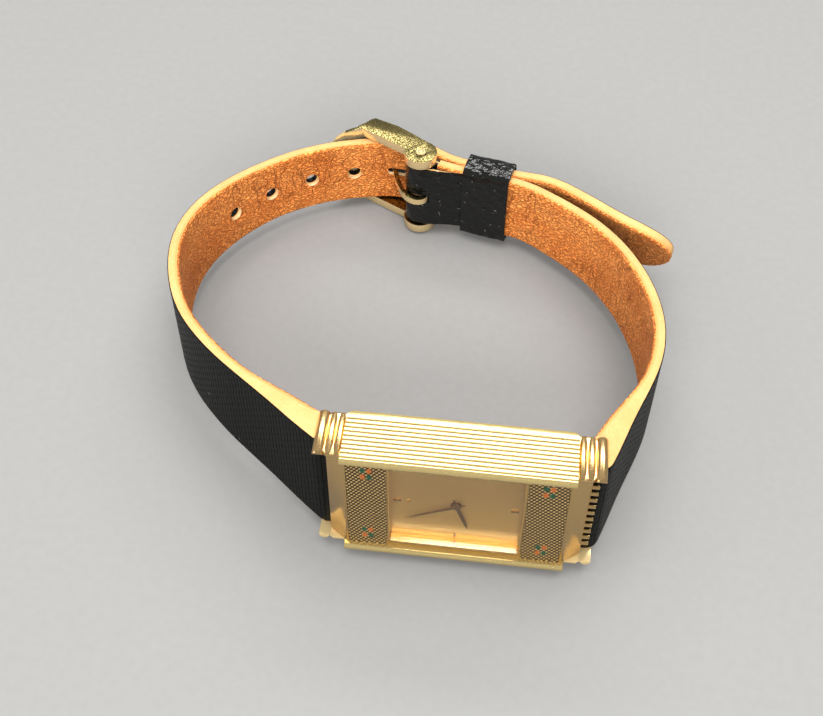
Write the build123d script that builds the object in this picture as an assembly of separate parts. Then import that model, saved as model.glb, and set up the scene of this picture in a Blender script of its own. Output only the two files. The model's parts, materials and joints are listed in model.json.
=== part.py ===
from build123d import *
from math import atan2, cos, degrees, pi, sin
import os

# A rectangular dress watch on a buckled leather strap, standing on its crown
# and on the lower edge of its buckle, as it is put down on a table.
# Lengths are millimetres. The watch is drawn with X along the strap from
# 6 o'clock (minus) to 12 o'clock (plus), Y from the glass towards the wrist
# and Z from the 3 o'clock side up to the 9 o'clock side. It is leaned back
# onto its buckle only when the solids are written.

# Case
case_width = 18.0
rail_length = 25.4
rail_depth = 6.9
rail_wall = 0.9
rail_nose_radius = 0.4
rail_corner_radius = 0.8
flute_pitch = 0.58
flute_width = 0.16
flute_depth = 0.13
face_recess = 0.75
body_back = 6.3
end_wall_x = 13.0
end_band_reach = 14.5
end_band_drop = 1.45
end_lip_depth = 0.35
end_rib_count = 10
end_rib_radius = 0.26
end_rib_pitch = 1.26
end_rib_reach = 0.8

# Lugs: a plate under three crowned beads, the outermost bead the largest
lug_reach = 15.8
lug_front = 1.0
lug_plate = 0.25
bead_drop = 0.3
lug_corner = 1.6
bead_radius = 0.47
outer_bead_radius = 0.64
bead_front_gap = 0.25

# Face
bezel_thickness = 0.7
bezel_end_rim = 0.25
window_length = 15.2
window_rim = 0.75
window_corner = 0.4
panel_thickness = 0.22
panel_sink = 0.05
panel_gap = 0.03
window_border = 0.12
mark_width = 0.75
mark_height = 1.2
mark_depth = 0.12
mark_from_edge = 2.2
crystal_thickness = 0.8
crystal_sink = 0.05
crystal_gasket_wall = 0.13
dial_ring_depth = 0.75
dial_ring_wall = 0.8
dial_thickness = 0.4
dial_hole_radius = 0.62
marker_length = 0.9
marker_width = 0.3
marker_height = 0.16
marker_inset = 1.0
small_marker_length = 0.35

# Hands and the wheels under the dial
minute_hand_length = 6.6
hour_hand_length = 4.7
minute_hand_width = 0.34
hour_hand_width = 0.5
hand_tail = 1.2
hand_thickness = 0.1
hand_gap = 0.1
minute_boss_radius = 0.45
hour_boss_radius = 0.64
minute_angle = 151.0
hour_angle = 72.5
arbor_radius = 0.15
cannon_radius = 0.3
hour_pipe_radius = 0.48
wheel_thickness = 0.22
tooth_depth = 0.12
gear_backlash = 0.02
motion_module = 0.1
cannon_teeth = 12
minute_wheel_teeth = 36
minute_pinion_teeth = 10
hour_wheel_teeth = 40
dial_side_gap = 0.08

# Movement
movement_length = 15.2
movement_width = 12.8
plate_front = 3.5
plate_thickness = 0.6
bridge_thickness = 0.3
bridge_back = 6.0
holder_wall = 0.3
fit_gap = 0.05
pivot_radius = 0.1
train_module = 0.075
rotor_module = 0.05
centre_wheel_teeth = 40
third_pinion_teeth = 8
third_wheel_teeth = 48
rotor_pinion_teeth = 8
third_angle = 40.0
rotor_angle = 20.0
rotor_radius = 0.6
rotor_gap = 0.15
stator_thickness = 0.25
coil_radius = 0.7
coil_core_radius = 0.3
coil_length = 4.6
battery_radius = 3.4
battery_thickness = 1.65
board_thickness = 0.3
resonator_radius = 0.55
resonator_length = 4.2
screw_radius = 0.35
screw_head_radius = 0.6
screw_head_height = 0.2

# Back
back_thickness = 0.9
back_edge_radius = 0.35
back_inset = 0.15
back_gasket_section = 0.15

# Crown and stem
crown_radius = 1.6
crown_reach = 1.4
crown_gap = 0.15
crown_y = 3.95
crown_groove_count = 24
crown_groove_radius = 0.1
crown_edge = 0.2
stem_radius = 0.35
stem_depth = 2.4
stem_groove_radius = 0.2
stem_groove_width = 0.4
stem_groove_depth = 1.3
tube_wall = 0.25
tube_length = 1.6
running_gap = 0.04
lever_thickness = 0.2
lever_length = 2.4

# Spring bars
bar_x = 15.0
bar_y = 4.6
bar_radius = 0.75
bar_end_gap = 0.3
tip_radius = 0.3
tip_engagement = 0.32
tip_tail = 1.5
bar_spring_radius = 0.34
tip_travel = 0.7

# Strap
strap_lug_width = 16.0
strap_buckle_width = 9.8
strap_droop = 0.47
strap_thickness = 1.45
lining_thickness = 0.55
eye_radius = 1.65
eye_gap = 0.08
strap_swell_length = 15.0
loop_width = 61.7
loop_depth = 57.0
hole_radius = 0.75
hole_pitch = 6.2
holes_before_tang = 4
holes_after_tang = 2
tip_length = 6.0
tang_hole_length = 3.0

# Buckle and keeper
pin_radius = 0.7
fold_wall = 1.3
flap_gap = 0.06
fold_gap = 0.15
flap_length = 3.2
keeper_from_pin = 9.25
keeper_depth_from_pin = 1.75
keeper_run_in = 1.0
keeper_turn = -12.0
keeper_width = 6.4
keeper_wall = 0.5
keeper_gap = 0.2
frame_reach = 12.4
frame_thickness = 1.25
frame_side_gap = 0.3
frame_lobe_radius = 2.2
tang_width = 0.9
tang_thickness = 0.6
tang_collar_wall = 0.55
tang_hinge_gap = 0.05
tang_side_gap = 0.12
tang_swing_room = 0.35

# Places that follow from the sizes
half_width = case_width / 2
inner_low = rail_wall
inner_high = case_width - rail_wall
rail_half = rail_length / 2
window_half = window_length / 2
window_low = inner_low + window_rim
window_high = inner_high - window_rim
bezel_back = face_recess + bezel_thickness
crystal_front = face_recess + crystal_sink
crystal_back = crystal_front + crystal_thickness
movement_low = half_width - movement_width / 2
stem_end = movement_low + stem_depth
stem_groove_z = movement_low + stem_groove_depth
pin_x_share = -0.1605
pin_y_share = 0.9333
pin_x = loop_width * pin_x_share
pin_y = loop_depth * pin_y_share
dial_front = crystal_back + dial_ring_depth
dial_back = dial_front + dial_thickness
ring_half = window_half + dial_ring_wall
ring_low = window_low - dial_ring_wall / 4
ring_high = window_high + dial_ring_wall / 4
cavity_half = movement_length / 2 + holder_wall + 2 * fit_gap
cavity_height_half = movement_width / 2 + holder_wall + 2 * fit_gap
overrun = rail_wall


def slab(x0, x1, y0, y1, z0, z1):
    block = Box(x1 - x0, y1 - y0, z1 - z0)
    return Pos((x0 + x1) / 2, (y0 + y1) / 2, (z0 + z1) / 2) * block


def rod_x(y, z, radius, x0, x1):
    return Pos((x0 + x1) / 2, y, z) * Rot(0, 90, 0) * Cylinder(radius, x1 - x0)


def rod_y(x, z, radius, y0, y1):
    return Pos(x, (y0 + y1) / 2, z) * Rot(90, 0, 0) * Cylinder(radius, y1 - y0)


def rod_z(x, y, radius, z0, z1):
    return Pos(x, y, (z0 + z1) / 2) * Cylinder(radius, z1 - z0)


def facing(sketch, y0, y1):
    # A sketch drawn as the watch is read, X right and Z up, made y1 - y0 deep.
    plane = Plane(origin=(0, y1, 0), x_dir=(1, 0, 0), z_dir=(0, -1, 0))
    return extrude(plane * sketch, amount=y1 - y0)


def plan(sketch, z0, z1):
    return extrude(Pos(0, 0, z0) * sketch, amount=z1 - z0)


def rounded_window(half_x, z_low, z_high, corner):
    return Pos(0, (z_low + z_high) / 2) * RectangleRounded(2 * half_x, z_high - z_low, corner)


def lower(shape):
    # The same piece on the 3 o'clock side.
    return mirror(shape, about=Plane(origin=(0, 0, half_width), z_dir=(0, 0, 1)))


def other_end(shape):
    return mirror(shape, about=Plane.YZ)


def opposite(shape):
    # The same piece turned half round, to the far corner of the case.
    middle = Pos(0, 0, half_width)
    return middle * Rot(0, 180, 0) * middle.inverse() * shape


def polygon(points):
    return make_face(Polyline(*points, close=True))


# Case pieces
def side_rail():
    # Drawn in Y and Z, with a row of vee grooves along the outer face.
    count = int((rail_depth - flute_pitch) / flute_pitch)
    top = case_width
    points = [(0, inner_high), (0, top)]
    for i in range(count):
        y = (i + 1) * flute_pitch
        points.append((y - flute_width / 2, top))
        points.append((y, top - flute_depth))
        points.append((y + flute_width / 2, top))
    points.append((rail_depth, top))
    points.append((rail_depth, inner_high))
    plane = Plane(origin=(-rail_half, 0, 0), x_dir=(0, 1, 0), z_dir=(1, 0, 0))
    rail = extrude(plane * polygon(points), amount=rail_length)
    nose = rail.edges().filter_by(Axis.X).filter_by_position(Axis.Y, 0, 0)
    rail = fillet(nose, rail_nose_radius)
    corners = rail.edges().filter_by(Axis.Z).filter_by_position(Axis.Y, rail_depth, rail_depth)
    return fillet(corners, rail_corner_radius)


def lower_side_rail():
    hole = rod_z(0, crown_y, stem_radius + running_gap + tube_wall, -overrun, inner_low + overrun)
    return lower(side_rail()) - hole


def end_outline():
    # Plan outline of the body: a flat face, a band sloping back at each end
    # and a short lip behind it that the strap end tucks under.
    band_back = face_recess + end_band_drop
    right = [
        (rail_half - bezel_end_rim, face_recess),
        (end_band_reach, band_back),
        (end_band_reach, band_back + end_lip_depth),
        (end_wall_x, band_back + end_lip_depth),
        (end_wall_x, body_back),
    ]
    left = [(-x, y) for x, y in reversed(right)]
    return polygon(right + left)


def end_ribs():
    ribs = []
    first = half_width - (end_rib_count - 1) * end_rib_pitch / 2
    y = face_recess + end_band_drop + end_lip_depth - end_rib_radius
    for i in range(end_rib_count):
        z = first + i * end_rib_pitch
        ribs.append(rod_x(y, z, end_rib_radius, end_wall_x, end_band_reach + end_rib_reach))
    return ribs


def case_middle():
    body = plan(end_outline(), inner_low, inner_high)
    for rib in end_ribs():
        body = body + rib
    bezel_seat = slab(
        -rail_half + bezel_end_rim, rail_half - bezel_end_rim,
        face_recess - overrun, bezel_back, inner_low - overrun, inner_high + overrun)
    body = body - bezel_seat
    dial_pocket = rounded_window(
        ring_half + fit_gap, ring_low - fit_gap, ring_high + fit_gap, window_corner)
    body = body - facing(dial_pocket, face_recess - overrun, dial_back)
    cavity = rounded_window(
        cavity_half, half_width - cavity_height_half, half_width + cavity_height_half, window_corner)
    body = body - facing(cavity, face_recess, body_back + overrun)
    tube_hole = rod_z(0, crown_y, stem_radius + running_gap + tube_wall, 0, half_width / 2)
    return body - tube_hole


def lug():
    # The 9 o'clock lug at the 12 o'clock end.
    outline = polygon([
        (rail_half, lug_front),
        (lug_reach - lug_corner, lug_front),
        (lug_reach, lug_front + lug_corner),
        (lug_reach, rail_depth - lug_corner),
        (lug_reach - lug_corner, rail_depth),
        (rail_half, rail_depth)])
    shape = plan(outline, inner_high, inner_high + lug_plate)
    radii = [bead_radius, bead_radius, outer_bead_radius]
    keep = slab(rail_half, lug_reach + overrun, 0, rail_depth, inner_high, case_width)
    x = rail_half
    for radius in radii:
        shape = shape + (bead(x + radius, radius) & keep)
        x = x + 2 * radius
    hole = rod_z(
        bar_x, bar_y, tip_radius + fit_gap, inner_high - overrun,
        inner_high + tip_engagement + fit_gap)
    return shape - hole


def bead(x, radius):
    # A round bar bent to a crown, highest at the middle of the lug's depth.
    front = lug_front + bead_front_gap
    middle = (front + rail_depth) / 2
    crest = inner_high + lug_plate * 0.5
    path = ThreePointArc(
        (x, front, crest - bead_drop), (x, middle, crest), (x, rail_depth, crest - bead_drop))
    section = Plane(origin=path @ 0, z_dir=path % 0) * Circle(radius)
    return sweep(section, path=path)


# Face pieces
def bezel_frame():
    half = rail_half - bezel_end_rim
    plate = slab(-half, half, face_recess, bezel_back, inner_low, inner_high)
    window = rounded_window(window_half, window_low, window_high, window_corner)
    plate = plate - facing(window, face_recess - overrun, bezel_back + overrun)
    for sign in (-1, 1):
        x0, x1 = sorted((sign * panel_inner(), sign * panel_outer()))
        plate = plate - slab(
            x0, x1, face_recess - overrun, panel_back(), inner_low - overrun, inner_high + overrun)
    return plate


def panel_inner():
    return window_half + window_border


def panel_outer():
    return rail_half - 2 * bezel_end_rim


def panel_back():
    return face_recess + panel_sink + panel_thickness


def mark_places():
    # Centres of the little chequered lozenges: X, Z and which colour.
    x_mid = (panel_inner() + panel_outer()) / 2
    places = []
    for sign in (-1, 1):
        for z_mid in (inner_low + mark_from_edge, inner_high - mark_from_edge):
            for i in (-1, 1):
                for j in (-1, 1):
                    x = sign * x_mid + i * mark_width / 2
                    places.append((x, z_mid + j * mark_height / 2, i * j))
    return places


def lozenge(x, z, shrink):
    half_x = mark_width / 2 - shrink
    half_z = mark_height / 2 - shrink
    return polygon([(x - half_x, z), (x, z - half_z), (x + half_x, z), (x, z + half_z)])


def enamel(colour):
    front = face_recess + panel_sink
    pieces = []
    for x, z, kind in mark_places():
        if kind == colour:
            pieces.append(facing(lozenge(x, z, panel_gap), front, front + mark_depth))
    return Compound(pieces)


def end_panel(sign):
    front = face_recess + panel_sink
    x0, x1 = sorted((sign * (panel_inner() + panel_gap), sign * (panel_outer() - panel_gap)))
    panel = slab(x0, x1, front, panel_back(), inner_low + panel_gap, inner_high - panel_gap)
    for x, z, kind in mark_places():
        if x * sign > 0:
            panel = panel - facing(lozenge(x, z, panel_gap / 2), front - overrun, front + mark_depth)
    return panel


def crystal():
    edge = crystal_gasket_wall + panel_gap
    outline = rounded_window(
        window_half - edge, window_low + edge, window_high - edge, window_corner - edge)
    return facing(outline, crystal_front, crystal_back)


def crystal_gasket():
    edge = crystal_gasket_wall + panel_gap / 2
    outer = rounded_window(
        window_half - panel_gap / 2, window_low + panel_gap / 2,
        window_high - panel_gap / 2, window_corner - panel_gap / 2)
    inner = rounded_window(window_half - edge, window_low + edge, window_high - edge, window_corner - edge)
    ring = facing(outer, crystal_front + crystal_sink, crystal_back)
    return ring - facing(inner, face_recess, crystal_back + overrun)


def dial_ring():
    outer = rounded_window(ring_half, ring_low, ring_high, window_corner)
    inner = rounded_window(
        window_half - crystal_gasket_wall, window_low + crystal_gasket_wall,
        window_high - crystal_gasket_wall, window_corner / 2)
    ring = facing(outer, crystal_back, dial_front)
    return ring - facing(inner, face_recess, dial_front + overrun)


def dial():
    outline = rounded_window(ring_half, ring_low, ring_high, window_corner)
    plate = facing(outline, dial_front, dial_back)
    return plate - rod_y(0, half_width, dial_hole_radius, face_recess, dial_back + overrun)


def dial_markers():
    # Bars at 12, 3, 6 and 9, with a short one inside the bar at 6.
    front = dial_front - marker_height
    half = marker_length / 2
    thin = marker_width / 2
    reach_x = window_half - marker_inset
    reach_z = (window_high - window_low) / 2 - marker_inset
    pieces = []
    for sign in (-1, 1):
        x = sign * reach_x
        z = half_width + sign * reach_z
        pieces.append(slab(x - half, x + half, front, dial_front, half_width - thin, half_width + thin))
        pieces.append(slab(-thin, thin, front, dial_front, z - half, z + half))
    x = -reach_x + marker_length + small_marker_length
    short = small_marker_length / 2
    pieces.append(slab(
        x - short, x + short, front, dial_front, half_width - thin / 2, half_width + thin / 2))
    return Compound(pieces)


# Hands and motion work, all about the centre of the dial
def hour_hand_back():
    return dial_front - hand_gap


def minute_hand_back():
    return hour_hand_back() - hand_thickness - hand_gap


def hand(length, width, boss, y_back, bore, angle):
    outline = polygon([
        (-hand_tail, 0), (0, width / 2), (length * 0.8, width / 3),
        (length, 0), (length * 0.8, -width / 3), (0, -width / 2)])
    blade = facing(outline, y_back - hand_thickness, y_back)
    blade = blade + rod_y(0, 0, boss, y_back - hand_thickness, y_back)
    if bore:
        blade = blade - rod_y(0, 0, bore, y_back - overrun, y_back + overrun)
    return Pos(0, 0, half_width) * Rot(0, angle, 0) * blade


def minute_hand():
    return hand(
        minute_hand_length, minute_hand_width, minute_boss_radius,
        minute_hand_back(), 0, minute_angle)


def hour_hand():
    return hand(
        hour_hand_length, hour_hand_width, hour_boss_radius,
        hour_hand_back(), hour_pipe_radius, hour_angle)


def toothed(teeth, module, y0, y1):
    # The tips stop just short of the pitch circle, so meshed wheels never bind.
    radius = teeth * module / 2 - gear_backlash / 2
    root = radius - tooth_depth * module / motion_module
    points = []
    for i in range(teeth):
        for share, reach in ((0.0, root), (0.2, radius), (0.5, radius), (0.7, root)):
            turn = 2 * pi * (i + share) / teeth
            points.append((reach * cos(turn), reach * sin(turn)))
    return facing(polygon(points), y0, y1)


def hour_layer():
    return dial_back + dial_side_gap


def minute_layer():
    return hour_layer() + wheel_thickness + dial_side_gap


def cannon_pinion():
    y1 = minute_layer() + wheel_thickness
    shape = toothed(cannon_teeth, motion_module, minute_layer(), y1)
    shape = shape + rod_y(0, 0, cannon_radius, minute_hand_back(), y1)
    shape = shape - rod_y(0, 0, arbor_radius, minute_hand_back() + hand_thickness, y1 + overrun)
    return Pos(0, 0, half_width) * shape


def hour_wheel():
    y0 = hour_layer()
    shape = toothed(hour_wheel_teeth, motion_module * motion_share(), y0, y0 + wheel_thickness)
    shape = shape + rod_y(0, 0, hour_pipe_radius, hour_hand_back() - hand_thickness, y0)
    bore = rod_y(0, 0, cannon_radius + running_gap, face_recess, y0 + wheel_thickness + overrun)
    return Pos(0, 0, half_width) * (shape - bore)


def motion_share():
    # Both pairs of the motion work share one centre distance.
    return (cannon_teeth + minute_wheel_teeth) / (minute_pinion_teeth + hour_wheel_teeth)


def minute_wheel_z():
    return half_width - motion_module * (cannon_teeth + minute_wheel_teeth) / 2


def minute_wheel():
    y0 = hour_layer()
    y1 = minute_layer() + wheel_thickness
    shape = toothed(minute_wheel_teeth, motion_module, minute_layer(), y1)
    shape = shape + toothed(minute_pinion_teeth, motion_module * motion_share(), y0, minute_layer())
    shape = shape + rod_y(0, 0, pivot_radius, y1, plate_front + plate_thickness / 2)
    return Pos(0, 0, minute_wheel_z()) * shape


# Movement
def centre_wheel_layer():
    return bridge_back - bridge_thickness - dial_side_gap - 2 * wheel_thickness


def third_wheel_layer():
    return plate_front + plate_thickness + dial_side_gap


def third_place():
    reach = train_module * (centre_wheel_teeth + third_pinion_teeth) / 2
    turn = third_angle * pi / 180
    return reach * cos(turn), half_width + reach * sin(turn)


def rotor_place():
    x, z = third_place()
    reach = rotor_module * (third_wheel_teeth + rotor_pinion_teeth) / 2
    turn = rotor_angle * pi / 180
    return x + reach * cos(turn), z + reach * sin(turn)


def pivots(x, z):
    return rod_y(x, z, pivot_radius, plate_front + plate_thickness / 2, bridge_back)


def centre_wheel():
    y0 = centre_wheel_layer()
    shape = toothed(centre_wheel_teeth, train_module, y0, y0 + wheel_thickness)
    shape = shape + rod_y(0, 0, arbor_radius, minute_hand_back() + hand_thickness, y0)
    shape = shape + rod_y(0, 0, pivot_radius, y0, bridge_back)
    return Pos(0, 0, half_width) * shape


def third_wheel():
    x, z = third_place()
    y0 = third_wheel_layer()
    shape = toothed(third_wheel_teeth, rotor_module, y0, y0 + wheel_thickness)
    leaf_end = centre_wheel_layer() + wheel_thickness
    shape = shape + toothed(third_pinion_teeth, train_module, y0 + wheel_thickness, leaf_end)
    return Pos(x, 0, z) * shape + pivots(x, z)


def rotor():
    x, z = rotor_place()
    y0 = third_wheel_layer()
    magnet_front = y0 + wheel_thickness + dial_side_gap
    shape = toothed(rotor_pinion_teeth, rotor_module, y0, magnet_front)
    shape = shape + rod_y(0, 0, rotor_radius, magnet_front, centre_wheel_layer() + wheel_thickness)
    return Pos(x, 0, z) * shape + pivots(x, z)


def stator_front():
    return third_wheel_layer() + 2 * wheel_thickness


def stator():
    x, z = rotor_place()
    reach = rotor_radius + rotor_gap
    left = x - reach - rotor_gap
    right = movement_length / 2 - holder_wall
    top = half_width + movement_width / 2 - coil_radius
    plate = slab(left, right, stator_front(), stator_front() + stator_thickness, z - 2 * reach, top)
    plate = plate - slab(
        x + 2 * reach, right - 2 * reach, 0, body_back, z + reach, top - 2 * coil_radius)
    return plate - rod_y(x, z, reach, 0, body_back)


def coil():
    x, z = rotor_place()
    middle = (x - rotor_radius + movement_length / 2 - holder_wall) / 2
    y = stator_front() + stator_thickness + coil_radius
    z_coil = half_width + movement_width / 2 - 2 * coil_radius
    bobbin = rod_x(y, z_coil, coil_radius, middle - coil_length / 2, middle + coil_length / 2)
    return bobbin


def battery_place():
    reach = movement_length / 2 - battery_radius - fit_gap
    return -reach, half_width + movement_width / 2 - battery_radius - fit_gap


def battery():
    x, z = battery_place()
    y0 = plate_front + plate_thickness + fit_gap
    return rod_y(x, z, battery_radius, y0, y0 + battery_thickness)


def battery_clip():
    x, z = battery_place()
    y0 = plate_front + plate_thickness + fit_gap + battery_thickness
    strip = slab(
        x - battery_radius, x + battery_radius, y0, y0 + fit_gap * 2,
        z - screw_head_radius, z + screw_head_radius)
    return strip


def screw_places():
    x, z = rotor_place()
    left = hour_pipe_radius
    low = half_width - 2 * screw_head_radius - train_module * centre_wheel_teeth / 2
    return [(left, low), (x + 4 * screw_head_radius, low)]


def main_plate():
    half_x = movement_length / 2
    half_z = movement_width / 2
    plate = slab(
        -half_x, half_x, plate_front, plate_front + plate_thickness,
        half_width - half_z, half_width + half_z)
    plate = plate - rod_y(0, half_width, cannon_radius + running_gap, 0, body_back)
    for x, z in [third_place(), rotor_place(), (0, minute_wheel_z())]:
        plate = plate - rod_y(x, z, pivot_radius + running_gap, 0, body_back)
    for x, z in screw_places():
        plate = plate - rod_y(x, z, screw_radius, 0, body_back)
    stem_slot = slab(
        -stem_radius - 2 * running_gap, stem_radius + 2 * running_gap,
        0, body_back, 0, stem_end + 2 * running_gap)
    return plate - stem_slot


def train_bridge():
    x, z = rotor_place()
    low = screw_places()[0][1] - screw_head_radius
    high = z + rotor_radius + 2 * screw_radius
    right = x + 5 * screw_head_radius
    plate = slab(-pivot_radius - screw_radius, right, bridge_back - bridge_thickness, bridge_back, low, high)
    for px, pz in [(0, half_width), third_place(), rotor_place()]:
        plate = plate - rod_y(px, pz, pivot_radius + running_gap, 0, body_back)
    for px, pz in screw_places():
        plate = plate - rod_y(px, pz, screw_radius, 0, body_back)
        post = rod_y(px, pz, screw_head_radius, plate_front + plate_thickness, bridge_back - bridge_thickness)
        plate = plate + (post - rod_y(px, pz, screw_radius, 0, body_back))
    return plate


def bridge_screws():
    pieces = []
    for x, z in screw_places():
        shank = rod_y(x, z, screw_radius, plate_front, bridge_back)
        head = rod_y(x, z, screw_head_radius, bridge_back, bridge_back + screw_head_height)
        slot = slab(
            x - overrun, x + overrun, bridge_back + screw_head_height / 2, body_back + overrun,
            z - screw_radius / 4, z + screw_radius / 4)
        pieces.append(shank + head - slot)
    return Compound(pieces)


def board_low():
    return movement_low + fit_gap


def circuit_board():
    y0 = plate_front + plate_thickness + fit_gap
    left = stem_radius + lever_length
    right = movement_length / 2 - fit_gap
    high = screw_places()[0][1] - screw_head_radius - fit_gap
    return slab(left, right, y0, y0 + board_thickness, board_low(), high)


def resonator():
    y = plate_front + plate_thickness + fit_gap + board_thickness + resonator_radius
    right = movement_length / 2 - 2 * fit_gap
    z = board_low() + resonator_radius + fit_gap
    return rod_x(y, z, resonator_radius, right - resonator_length, right)


def movement_holder():
    half_x = movement_length / 2 + holder_wall
    half_z = movement_width / 2 + holder_wall
    outer = rounded_window(half_x, half_width - half_z, half_width + half_z, window_corner)
    inner = rounded_window(
        half_x - holder_wall + fit_gap, half_width - half_z + holder_wall - fit_gap,
        half_width + half_z - holder_wall + fit_gap, window_corner / 2)
    ring = facing(outer, dial_back + fit_gap, bridge_back)
    ring = ring - facing(inner, 0, body_back + overrun)
    return ring - rod_z(0, crown_y, stem_radius + 2 * tube_wall, 0, half_width)


# Back
def case_back():
    half_x = rail_half - back_inset
    plate = slab(
        -half_x, half_x, body_back, body_back + back_thickness,
        inner_low + fit_gap, inner_high - fit_gap)
    outer_face = plate.faces().sort_by(Axis.Y)[-1]
    plate = fillet(outer_face.edges(), back_edge_radius)
    groove = back_gasket_outline(panel_gap)
    return plate - facing(groove, body_back, body_back + back_gasket_section)


def back_gasket_outline(grow):
    half_x = cavity_half + 3 * back_gasket_section
    half_z = cavity_height_half + back_gasket_section
    wall = 2 * back_gasket_section + grow
    outer = rounded_window(
        half_x + wall, half_width - half_z - back_gasket_section,
        half_width + half_z + back_gasket_section, window_corner)
    inner = rounded_window(half_x, half_width - half_z, half_width + half_z, window_corner)
    return outer - inner


def back_gasket():
    return facing(back_gasket_outline(0), body_back, body_back + back_gasket_section)


# Crown, stem and setting lever
def crown():
    body = rod_z(0, crown_y, crown_radius, -crown_reach, -crown_gap)
    body = chamfer(body.edges().filter_by(GeomType.CIRCLE), crown_edge)
    for i in range(crown_groove_count):
        turn = 2 * pi * i / crown_groove_count
        x = crown_radius * cos(turn)
        y = crown_y + crown_radius * sin(turn)
        body = body - rod_z(x, y, crown_groove_radius, -crown_reach - overrun, 0)
    return body - rod_z(0, crown_y, stem_radius, -crown_reach / 2, 0)


def stem():
    shaft = rod_z(0, crown_y, stem_radius, -crown_reach / 2, stem_end)
    groove_low = stem_groove_z - stem_groove_width / 2
    groove_high = stem_groove_z + stem_groove_width / 2
    collar = rod_z(0, crown_y, stem_radius + overrun, groove_low, groove_high)
    core = rod_z(0, crown_y, stem_groove_radius, groove_low, groove_high)
    return shaft - collar + core


def crown_tube():
    outer = stem_radius + running_gap + tube_wall
    sleeve = rod_z(0, crown_y, outer, 0, tube_length)
    return sleeve - rod_z(0, crown_y, stem_radius + running_gap, -overrun, tube_length + overrun)


def setting_lever():
    # A flat lever with a saddle that sits in the groove of the stem.
    y0 = plate_front + plate_thickness + fit_gap
    y1 = y0 + lever_thickness
    half = stem_groove_width / 2 - running_gap
    low = stem_groove_z - half
    high = stem_groove_z + half
    arm = slab(-stem_radius, lever_length, y0, y1, low, high)
    saddle = slab(-stem_radius, stem_radius, crown_y, y1, low, high)
    return arm + saddle - rod_z(0, crown_y, stem_groove_radius + running_gap, 0, half_width)


# Spring bars
def spring_bar():
    z0 = inner_low + bar_end_gap
    z1 = inner_high - bar_end_gap
    tube = rod_z(bar_x, bar_y, bar_radius, z0, z1)
    return tube - rod_z(bar_x, bar_y, tip_radius + running_gap, z0 - overrun, z1 + overrun)


def bar_tip():
    z1 = inner_high + tip_engagement
    z0 = inner_high - bar_end_gap - tip_tail
    return rod_z(bar_x, bar_y, tip_radius, z0, z1)


def bar_springs():
    # The coiled spring in each bar, drawn as its solid length between the tips.
    margin = bar_end_gap + tip_tail + tip_travel + running_gap
    pieces = []
    for sign in (-1, 1):
        pieces.append(rod_z(
            sign * bar_x, bar_y, bar_spring_radius, inner_low + margin, inner_high - margin))
    return Compound(pieces)


# Strap
def taper_end():
    return pin_y - keeper_width / 2


def taper_share(y):
    return min(max((y - bar_y) / (taper_end() - bar_y), 0), 1)


def width_at(y):
    return strap_lug_width + (strap_buckle_width - strap_lug_width) * taper_share(y)


def centre_at(y):
    return half_width - strap_droop * taper_share(y)


def strap_envelope():
    # Side view of the taper, in Y and Z, wide at the lugs and narrow at the buckle.
    near = -loop_depth / 4
    far = loop_depth * 1.2
    points = []
    for y in (near, bar_y, taper_end(), far):
        points.append((y, centre_at(y) + width_at(y) / 2))
    for y in (far, taper_end(), bar_y, near):
        points.append((y, centre_at(y) - width_at(y) / 2))
    plane = Plane(origin=(-loop_width, 0, 0), x_dir=(0, 1, 0), z_dir=(1, 0, 0))
    return extrude(plane * polygon(points), amount=2 * loop_width)


def buckle_mid():
    return centre_at(pin_y)


long_route_shares = [
    (-0.345, 0.158), (-0.423, 0.216), (-0.502, 0.291), (-0.565, 0.375), (-0.606, 0.474),
    (-0.626, 0.603), (-0.606, 0.712), (-0.538, 0.828), (-0.440, 0.918)]
strap_under_frame_shares = [(-0.944, 0.145), (-0.600, 0.242)]
tail_route_shares = [
    (0.102, 0.908), (0.147, 0.891), (0.186, 0.866), (0.224, 0.838), (0.263, 0.808),
    (0.303, 0.781), (0.346, 0.760), (0.390, 0.747)]
short_route_shares = [
    (0.284, 0.189), (0.331, 0.302), (0.352, 0.456), (0.329, 0.579), (0.280, 0.689),
    (0.217, 0.772), (0.134, 0.842)]


def shared_points(shares):
    return [(x * loop_width, y * loop_depth) for x, y in shares]


def fold_radius():
    return pin_radius + flap_gap + fold_wall


def over_fold(turn):
    # A point of the long piece's middle where it passes round the outside of the fold.
    reach = fold_radius() + fold_gap + strap_thickness / 2
    return pin_x + reach * cos(turn * pi / 180), pin_y + reach * sin(turn * pi / 180)


def keeper_point(outward, along):
    # The keeper's middle lies on the short piece; outward counts away from the wrist.
    turn = keeper_turn * pi / 180
    x = pin_x + keeper_from_pin + along * cos(turn) - outward * sin(turn)
    y = pin_y - keeper_depth_from_pin + along * sin(turn) + outward * cos(turn)
    return x, y


def through_keeper(outward, way):
    # Points in line through the keeper, from a little before it to just past it.
    run = keeper_width / 2 + keeper_run_in
    return [keeper_point(outward, way * share * run) for share in (-1, -0.4, 0.4, 1)]


def layer_tail():
    return strap_thickness + flap_gap


def long_route():
    # From the 6 o'clock bar round the wrist, over the fold, through the keeper to the tip.
    points = [(-bar_x, bar_y)]
    points = points + shared_points(long_route_shares)
    points = points + from_pin(strap_under_frame_shares)
    points.append((pin_x - fold_radius() - strap_thickness, pin_y + fold_radius() + strap_thickness))
    points = points + [over_fold(90), over_fold(69), over_fold(48)]
    points = points + through_keeper(layer_tail(), 1)
    points = points + shared_points(tail_route_shares)
    return Spline(*points)


def short_route():
    # From the 12 o'clock bar through the keeper to the back of the fold.
    points = [(bar_x, bar_y)]
    points = points + shared_points(short_route_shares)
    points = points + through_keeper(0, -1)
    points.append(short_end())
    return Spline(*points)


def short_end():
    x, y = over_fold(30)
    return x, y - strap_thickness - fold_gap


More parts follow.
